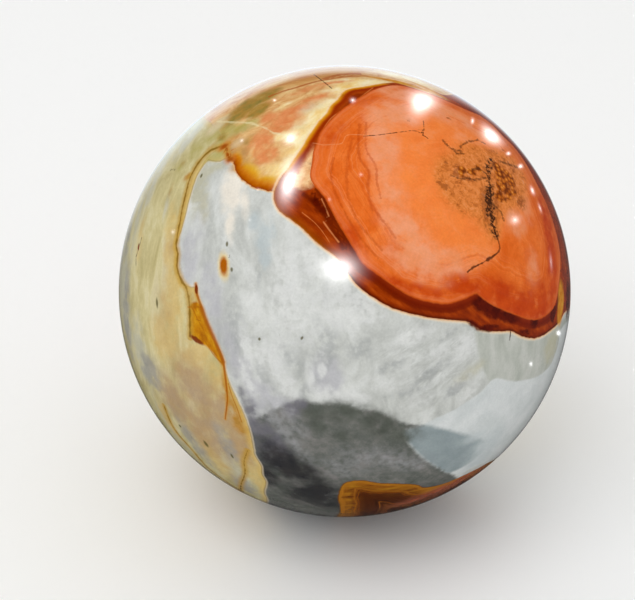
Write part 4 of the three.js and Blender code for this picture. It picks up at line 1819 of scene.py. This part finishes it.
    def speckle(self, size_mm: float, amount: float) -> None:
        """Adds the fine speckle that all of the stone has.

        Args:
            size_mm: The size of the speckle.
            amount: How far it takes the brightness up and down.
        """
        level = add_node(self.tree, "Math", {
            0: self.wander(size_mm), 1: amount, 2: 1.0,
        }, operation="MULTIPLY_ADD")
        self.colour = add_node(self.tree, "HueSaturation", {
            "Value": level.outputs[0], "Color": self.colour,
        }).outputs[0]


@dataclass(frozen=True)
class PolishedJasper:
    """Jasper, an opaque silica stone, ground round and polished to a mirror.

    The polish gives sharp, small reflections over deep, saturated colour. Only the crystal-lined
    hollow in the orange eye is a little rough and pitted.
    """

    index_of_refraction: float = 1.54
    polish_roughness: float = 0.035
    vug_roughness: float = 0.16
    vug_edge_mm: float = 4.0
    pit_size_mm: float = 0.8
    pit_depth_mm: float = 0.06
    pit_strength: float = 0.5
    speckle_mm: float = 0.55
    speckle_amount: float = 0.22

    def build(self, view: Viewpoint) -> bpy.types.Material:
        """Makes the material.

        Args:
            view: The viewpoint that the markings were read from.

        Returns:
            The material.
        """
        material = bpy.data.materials.new("polished_polychrome_jasper")
        material.use_nodes = True
        tree = material.node_tree
        tree.nodes.clear()
        painter = StonePainter(tree, view, SMOKE_GREY)
        for layer in LAYERS:
            painter.paint(layer)
        painter.speckle(self.speckle_mm, self.speckle_amount)

        vug = add_node(tree, "MapRange", {
            "Value": painter.attribute(Field.VUG).outputs["Fac"],
            "From Min": 0.0, "From Max": self.vug_edge_mm,
        })
        roughness = add_node(tree, "MapRange", {
            "Value": vug.outputs[0], "To Min": self.polish_roughness, "To Max": self.vug_roughness,
        })
        bump = add_node(tree, "Bump", {
            "Strength": self.pit_strength, "Distance": self.pit_depth_mm * MM,
            "Height": painter.product(painter.wander(self.pit_size_mm), vug.outputs[0]),
        })
        shader = add_node(tree, "BsdfPrincipled", {
            "Base Color": painter.colour,
            "Roughness": roughness.outputs[0],
            "IOR": self.index_of_refraction,
            "Normal": bump.outputs[0],
        })
        add_node(tree, "OutputMaterial", {"Surface": shader.outputs[0]})
        return material


# The ball


@dataclass
class JasperBall:
    """The stone: a ball with a small flat ground on its underside."""

    diameter_m: float = 0.120
    flat_diameter_m: float = 0.014
    halvings: int = 7
    smooth_below_deg: float = 3.5
    merged_below_mm: float = 0.02
    name: str = "polished_jasper_ball"

    @property
    def radius_m(self) -> float:
        """The ball's radius."""
        return self.diameter_m / 2

    @property
    def centre_height_m(self) -> float:
        """The height of the ball's centre above its flat."""
        return math.sqrt(self.radius_m ** 2 - (self.flat_diameter_m / 2) ** 2)

    def build(self) -> bpy.types.Object:
        """Models the ball from a cube.

        Returns:
            The ball, with its flat on the floor.
        """
        bpy.ops.object.select_all(action="DESELECT")
        bpy.ops.mesh.primitive_cube_add(size=self.diameter_m, calc_uvs=False)
        ball = bpy.context.object
        ball.name = self.name
        ball.data.name = self.name
        finer = ball.modifiers.new("finer", "SUBSURF")
        finer.levels = self.halvings
        finer.render_levels = self.halvings
        rounder = ball.modifiers.new("rounder", "CAST")
        rounder.cast_type = "SPHERE"
        rounder.factor = 1.0
        rounder.size = self.radius_m
        rounder.use_radius_as_size = False
        for modifier in (finer.name, rounder.name):
            bpy.ops.object.modifier_apply(modifier=modifier)
        self.grind_flat(ball)
        bpy.ops.object.shade_smooth_by_angle(angle=math.radians(self.smooth_below_deg))
        self.unfold(ball.data)
        return ball

    def grind_flat(self, ball: bpy.types.Object) -> None:
        """Lifts the ball to its height and presses what is under the floor up to it.

        Args:
            ball: The round ball about the origin.
        """
        bpy.ops.object.mode_set(mode="EDIT")
        bpy.ops.mesh.select_mode(type="VERT")
        bpy.ops.mesh.select_all(action="SELECT")
        bpy.ops.transform.translate(value=(0, 0, self.centre_height_m))
        bpy.ops.mesh.bisect(plane_co=(0, 0, 0), plane_no=(0, 0, 1))
        bpy.ops.mesh.select_all(action="DESELECT")
        bpy.ops.object.mode_set(mode="OBJECT")
        places = np.empty(len(ball.data.vertices) * 3)
        ball.data.vertices.foreach_get("co", places)
        ball.data.vertices.foreach_set("select", places[2::3] < ON_THE_FLOOR_M)
        bpy.ops.object.mode_set(mode="EDIT")
        bpy.ops.transform.resize(value=(1, 1, 0), center_override=(0, 0, 0))
        bpy.ops.mesh.select_all(action="SELECT")
        bpy.ops.mesh.remove_doubles(threshold=self.merged_below_mm * MM)
        bpy.ops.mesh.normals_make_consistent(inside=False)
        bpy.ops.object.mode_set(mode="OBJECT")

    def unfold(self, mesh: bpy.types.Mesh) -> None:
        """Lays the ball out on a square map that gives each part of it the same room.

        The map is an octahedron opened from its back, with the side that the photograph shows in
        its middle, so the seams lie on the back.

        Args:
            mesh: The ball's mesh.
        """
        vertices = np.empty(len(mesh.vertices) * 3)
        mesh.vertices.foreach_get("co", vertices)
        offsets = vertices.reshape(-1, 3) - np.array((0, 0, self.centre_height_m))
        corners = np.empty(len(mesh.loops), dtype=np.int32)
        mesh.loops.foreach_get("vertex_index", corners)
        totals = np.empty(len(mesh.polygons), dtype=np.int32)
        mesh.polygons.foreach_get("loop_total", totals)
        faces = np.repeat(np.arange(len(totals)), totals)
        places = offsets[corners] / np.linalg.norm(offsets[corners], axis=1, keepdims=True)
        middles = np.stack([np.bincount(faces, places[:, axis]) for axis in range(3)], axis=1)[faces]
        along, upwards, facing = places[:, 0], places[:, 2], -places[:, 1]
        radius = np.sqrt(np.maximum(1 - np.abs(facing), 0))
        share = np.arctan2(np.abs(upwards), np.abs(along)) * 2 / math.pi
        v = share * radius
        u = radius - v
        back = middles[:, 1] > 0
        u, v = np.where(back, 1 - v, u), np.where(back, 1 - u, v)
        u = np.where(middles[:, 0] < 0, -u, u) * 0.5 + 0.5
        v = np.where(middles[:, 2] < 0, -v, v) * 0.5 + 0.5
        layer = mesh.uv_layers.new(name="OFBake")
        layer.data.foreach_set("uv", np.stack([u, v], axis=1).astype(np.float32).ravel())

    def dress(self, ball: bpy.types.Object, view: Viewpoint) -> None:
        """Lays the markings on the ball and gives it its material.

        Args:
            ball: The modelled ball.
            view: The viewpoint that the markings were read from.
        """
        Markings(view, ball.data).lay_all()
        ball.data.materials.append(PolishedJasper().build(view))


# The studio


@dataclass(frozen=True)
class Highlight:
    """A soft light in the mirrored room, by the spot of the photograph where the ball shows it."""

    pixel: tuple[float, float]
    across_px: float
    up_px: float
    radiance: float
    turn_deg: float = 0.0


class Rays(Enum):
    """Which rays a part of the surroundings is made for."""

    SEEN = "Is Camera Ray"
    MIRRORED = "Is Glossy Ray"


@dataclass
class Studio:
    """A plain pale floor, soft light all round and the camera."""

    view: Viewpoint
    floor_size_m: float = 12.0
    floor_colour: str = "#FAFAF9"
    floor_roughness: float = 0.9
    floor_sheen: float = 0.1
    seen_strength: float = 0.95
    soft_strength: float = 0.80
    key_size_m: float = 1.6
    key_way: tuple[float, float, float] = (-0.45, -0.55, 1.0)
    key_distance_m: float = 2.2
    key_energy_w: float = 13.0
    mirrored_high: float = 0.01
    mirrored_horizon: float = 0.08
    mirrored_low: float = 0.09
    mirrored_floor: float = 0.03
    window_strength: float = 1.45
    window_colour: str = "#E0F0FD"
    # Parts of a unit direction, from where each tone of the mirrored room starts to where it is full
    high_up: tuple[float, float] = (0.0, 0.55)
    low_down: tuple[float, float] = (-0.35, -0.75)
    window_away: tuple[float, float] = (0.82, 0.96)
    window_right: tuple[float, float] = (0.34, 0.10)
    window_top: tuple[float, float] = (0.20, -0.02)
    glow_reach: float = 3.4
    glow_falloff: float = 5.0
    glow_depth: float = 0.5
    highlights: tuple[Highlight, ...] = (
        Highlight((340, 268), 15, 11, 55.0),
        Highlight((289, 183), 7.6, 16, 58.0, -20),
        Highlight((421, 103), 11, 9, 26.0),
        Highlight((491, 136), 9, 4.5, 18.0, -45),
        Highlight((515, 220), 4, 4, 14.0),
        Highlight((290.5, 138.5), 6, 4.6, 34.0, 30),
        Highlight((352.8, 100.4), 2.2, 2.0, 18.0),
        Highlight((329.5, 199.5), 1.4, 1.4, 10.0),
        Highlight((361, 174.6), 1.6, 1.5, 12.0),
        Highlight((241.8, 140.5), 1.4, 1.4, 12.0),
        Highlight((274.6, 100.2), 1.4, 1.3, 10.0),
        Highlight((257.8, 189.8), 1.6, 1.6, 10.0),
        Highlight((250, 220), 1.2, 1.2, 8.0),
        Highlight((173, 232), 2.0, 2.0, 8.0),
        Highlight((531, 364), 1.5, 2.0, 12.0),
        Highlight((558.5, 333), 1.6, 2.0, 10.0),
        Highlight((472.5, 121), 1.4, 2.4, 10.0),
        Highlight((508.4, 153.5), 1.8, 1.5, 10.0),
        Highlight((520.4, 166.3), 2.0, 1.8, 9.0),
        Highlight((532.4, 190.6), 1.4, 3.6, 9.0, 22),
        Highlight((540, 208), 1.0, 4.0, 5.0, 20),
        Highlight((551, 262), 1.2, 8.0, 3.0, 6),
    )

    def build_floor(self) -> bpy.types.Object:
        """Lays the floor.

        Returns:
            The floor.
        """
        bpy.ops.object.select_all(action="DESELECT")
        bpy.ops.mesh.primitive_plane_add(size=self.floor_size_m)
        floor = bpy.context.object
        floor.name = "studio_floor"
        floor.visible_glossy = False
        # Matt painted board: even and pale, without a sheen of its own
        material = bpy.data.materials.new("matt_painted_board")
        material.use_nodes = True
        tree = material.node_tree
        tree.nodes.clear()
        board = add_node(tree, "BsdfPrincipled", {
            "Base Color": linear(self.floor_colour),
            "Roughness": self.floor_roughness,
            "Specular IOR Level": self.floor_sheen,
        })
        add_node(tree, "OutputMaterial", {"Surface": board.outputs[0]})
        floor.data.materials.append(material)
        return floor

    def mirrored_highlight(
        self, tree: bpy.types.NodeTree, way: Socket, highlight: Highlight,
    ) -> Socket:
        """Adds one soft light to the mirrored room.

        Args:
            tree: The world's node tree.
            way: The direction that is looked in.
            highlight: The highlight that the ball shows.

        Returns:
            The output that carries the light's strength.
        """
        x, y = highlight.pixel
        turn = math.radians(highlight.turn_deg)
        middle = self.view.mirrored(highlight.pixel)
        along = self.view.mirrored((
            x + highlight.across_px * math.cos(turn), y - highlight.across_px * math.sin(turn),
        ))
        upward = self.view.mirrored((
            x - highlight.up_px * math.sin(turn), y - highlight.up_px * math.cos(turn),
        ))
        reaches = np.stack([along - middle, upward - middle], axis=1)
        axes, sizes, _ = np.linalg.svd(reaches, full_matrices=False)
        third = np.cross(axes[:, 0], axes[:, 1])
        turned = Matrix(np.stack([axes[:, 0], axes[:, 1], third], axis=1).tolist())
        local = add_node(tree, "Mapping", {
            "Vector": way,
            "Location": Vector(middle),
            "Rotation": turned.to_euler(),
            "Scale": (sizes[0], sizes[1], self.glow_depth),
        }, vector_type="TEXTURE")
        reach = add_node(tree, "VectorMath", {0: local.outputs[0]}, operation="LENGTH")
        fade = add_node(tree, "MapRange", {
            "Value": reach.outputs["Value"], "From Min": 0.0, "From Max": self.glow_reach,
            "To Min": 1.0, "To Max": 0.0,
        })
        glow = add_node(tree, "Math", {0: fade.outputs[0], 1: self.glow_falloff}, operation="POWER")
        return add_node(tree, "Math", {
            0: glow.outputs[0], 1: highlight.radiance,
        }, operation="MULTIPLY").outputs[0]

    def build_surroundings(self) -> None:
        """Makes the even light, and the darker room with bright windows that the polish mirrors."""
        world = bpy.data.worlds.new("soft_room")
        bpy.context.scene.world = world
        world.use_nodes = True
        tree = world.node_tree
        tree.nodes.clear()
        way = add_node(tree, "TexCoord").outputs["Generated"]
        across, away, up = add_node(tree, "SeparateXYZ", {0: way}).outputs
        above, low, far, left, under = (
            add_node(tree, "MapRange", {
                "Value": part, "From Min": first, "From Max": last, "To Min": start, "To Max": end,
            }, interpolation_type="SMOOTHSTEP").outputs[0]
            for part, (first, last), start, end in (
                (up, self.high_up, self.mirrored_horizon, self.mirrored_high),
                (up, self.low_down, self.mirrored_low, self.mirrored_floor),
                (away, self.window_away, 0.0, 1.0),
                (across, self.window_right, 0.0, 1.0),
                (up, self.window_top, 0.0, 1.0),
            )
        )
        far_left = add_node(tree, "Math", {0: far, 1: left}, operation="MULTIPLY").outputs[0]
        below = add_node(tree, "Mix", {
            0: far_left, 2: low, 3: self.window_strength,
        }, data_type="FLOAT").outputs[0]
        room = add_node(tree, "Mix", {0: under, 2: above, 3: below}, data_type="FLOAT").outputs[0]
        for highlight in self.highlights:
            glow = self.mirrored_highlight(tree, way, highlight)
            room = add_node(tree, "Math", {0: room, 1: glow}, operation="ADD").outputs[0]
        rays = add_node(tree, "LightPath").outputs
        soft = add_node(tree, "Mix", {
            0: rays[Rays.MIRRORED.value], 2: self.soft_strength, 3: room,
        }, data_type="FLOAT")
        seen = add_node(tree, "Mix", {
            0: rays[Rays.SEEN.value], 2: soft.outputs[0], 3: self.seen_strength,
        }, data_type="FLOAT")
        window = add_node(tree, "Math", {0: far_left, 1: under}, operation="MULTIPLY")
        window_seen = add_node(tree, "Math", {
            0: window.outputs[0], 1: rays[Rays.MIRRORED.value],
        }, operation="MULTIPLY")
        tint = add_node(tree, "Mix", {
            0: window_seen.outputs[0], 6: linear("#FFFFFF"), 7: linear(self.window_colour),
        }, data_type="RGBA")
        light = add_node(tree, "Background", {"Color": tint.outputs[2], "Strength": seen.outputs[0]})
        add_node(tree, "OutputWorld", {"Surface": light.outputs[0]})

    def build_key(self) -> None:
        """Hangs a large soft light over the camera's left, which shades the ball but isn't mirrored."""
        light = bpy.data.lights.new("soft_key", "AREA")
        light.size = self.key_size_m
        light.energy = self.key_energy_w
        lamp = bpy.data.objects.new("soft_key", light)
        way = Vector(self.key_way).normalized()
        lamp.location = Vector(self.view.ball_centre_m) + way * self.key_distance_m
        lamp.rotation_euler = way.to_track_quat("Z", "Y").to_euler()
        lamp.visible_glossy = False
        bpy.context.scene.collection.objects.link(lamp)

    def build_camera(self) -> None:
        """Sets the camera at the photograph's angle, with the ball where the photograph has it."""
        camera = bpy.data.cameras.new("photo_camera")
        camera.sensor_width = self.view.sensor_mm
        camera.lens = self.view.focal_px * self.view.sensor_mm / self.view.width_px
        camera.clip_start = self.view.nearest_seen_m
        viewer = bpy.data.objects.new("photo_camera", camera)
        viewer.location = self.view.camera_place
        viewer.rotation_euler = (math.radians(90 - self.view.elevation_deg), 0, 0)
        bpy.context.scene.collection.objects.link(viewer)
        bpy.context.scene.camera = viewer

    def build(self) -> None:
        """Sets up the whole studio."""
        self.build_camera()
        floor = self.build_floor()
        log.info("%s: %.0f m across", floor.name, self.floor_size_m)
        self.build_surroundings()
        self.build_key()
        bpy.context.scene.view_settings.view_transform = "Standard"
        bpy.context.scene.view_settings.look = "None"


def main() -> None:
    """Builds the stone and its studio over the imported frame."""
    logging.basicConfig(level=logging.INFO, format="%(name)s: %(message)s")
    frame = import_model()

    jasper = JasperBall()
    view = Viewpoint(jasper.radius_m, (0.0, 0.0, jasper.centre_height_m))
    ball = jasper.build()
    jasper.dress(ball, view)
    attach(ball, "root")
    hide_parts("jasper_sphere")
    log.info(
        "%s: %d faces over %s, %d attributes",
        ball.name, len(ball.data.polygons), ", ".join(frame["nodes"]), len(ball.data.attributes),
    )

    Studio(view).build()


if __name__ == "__main__":
    main()
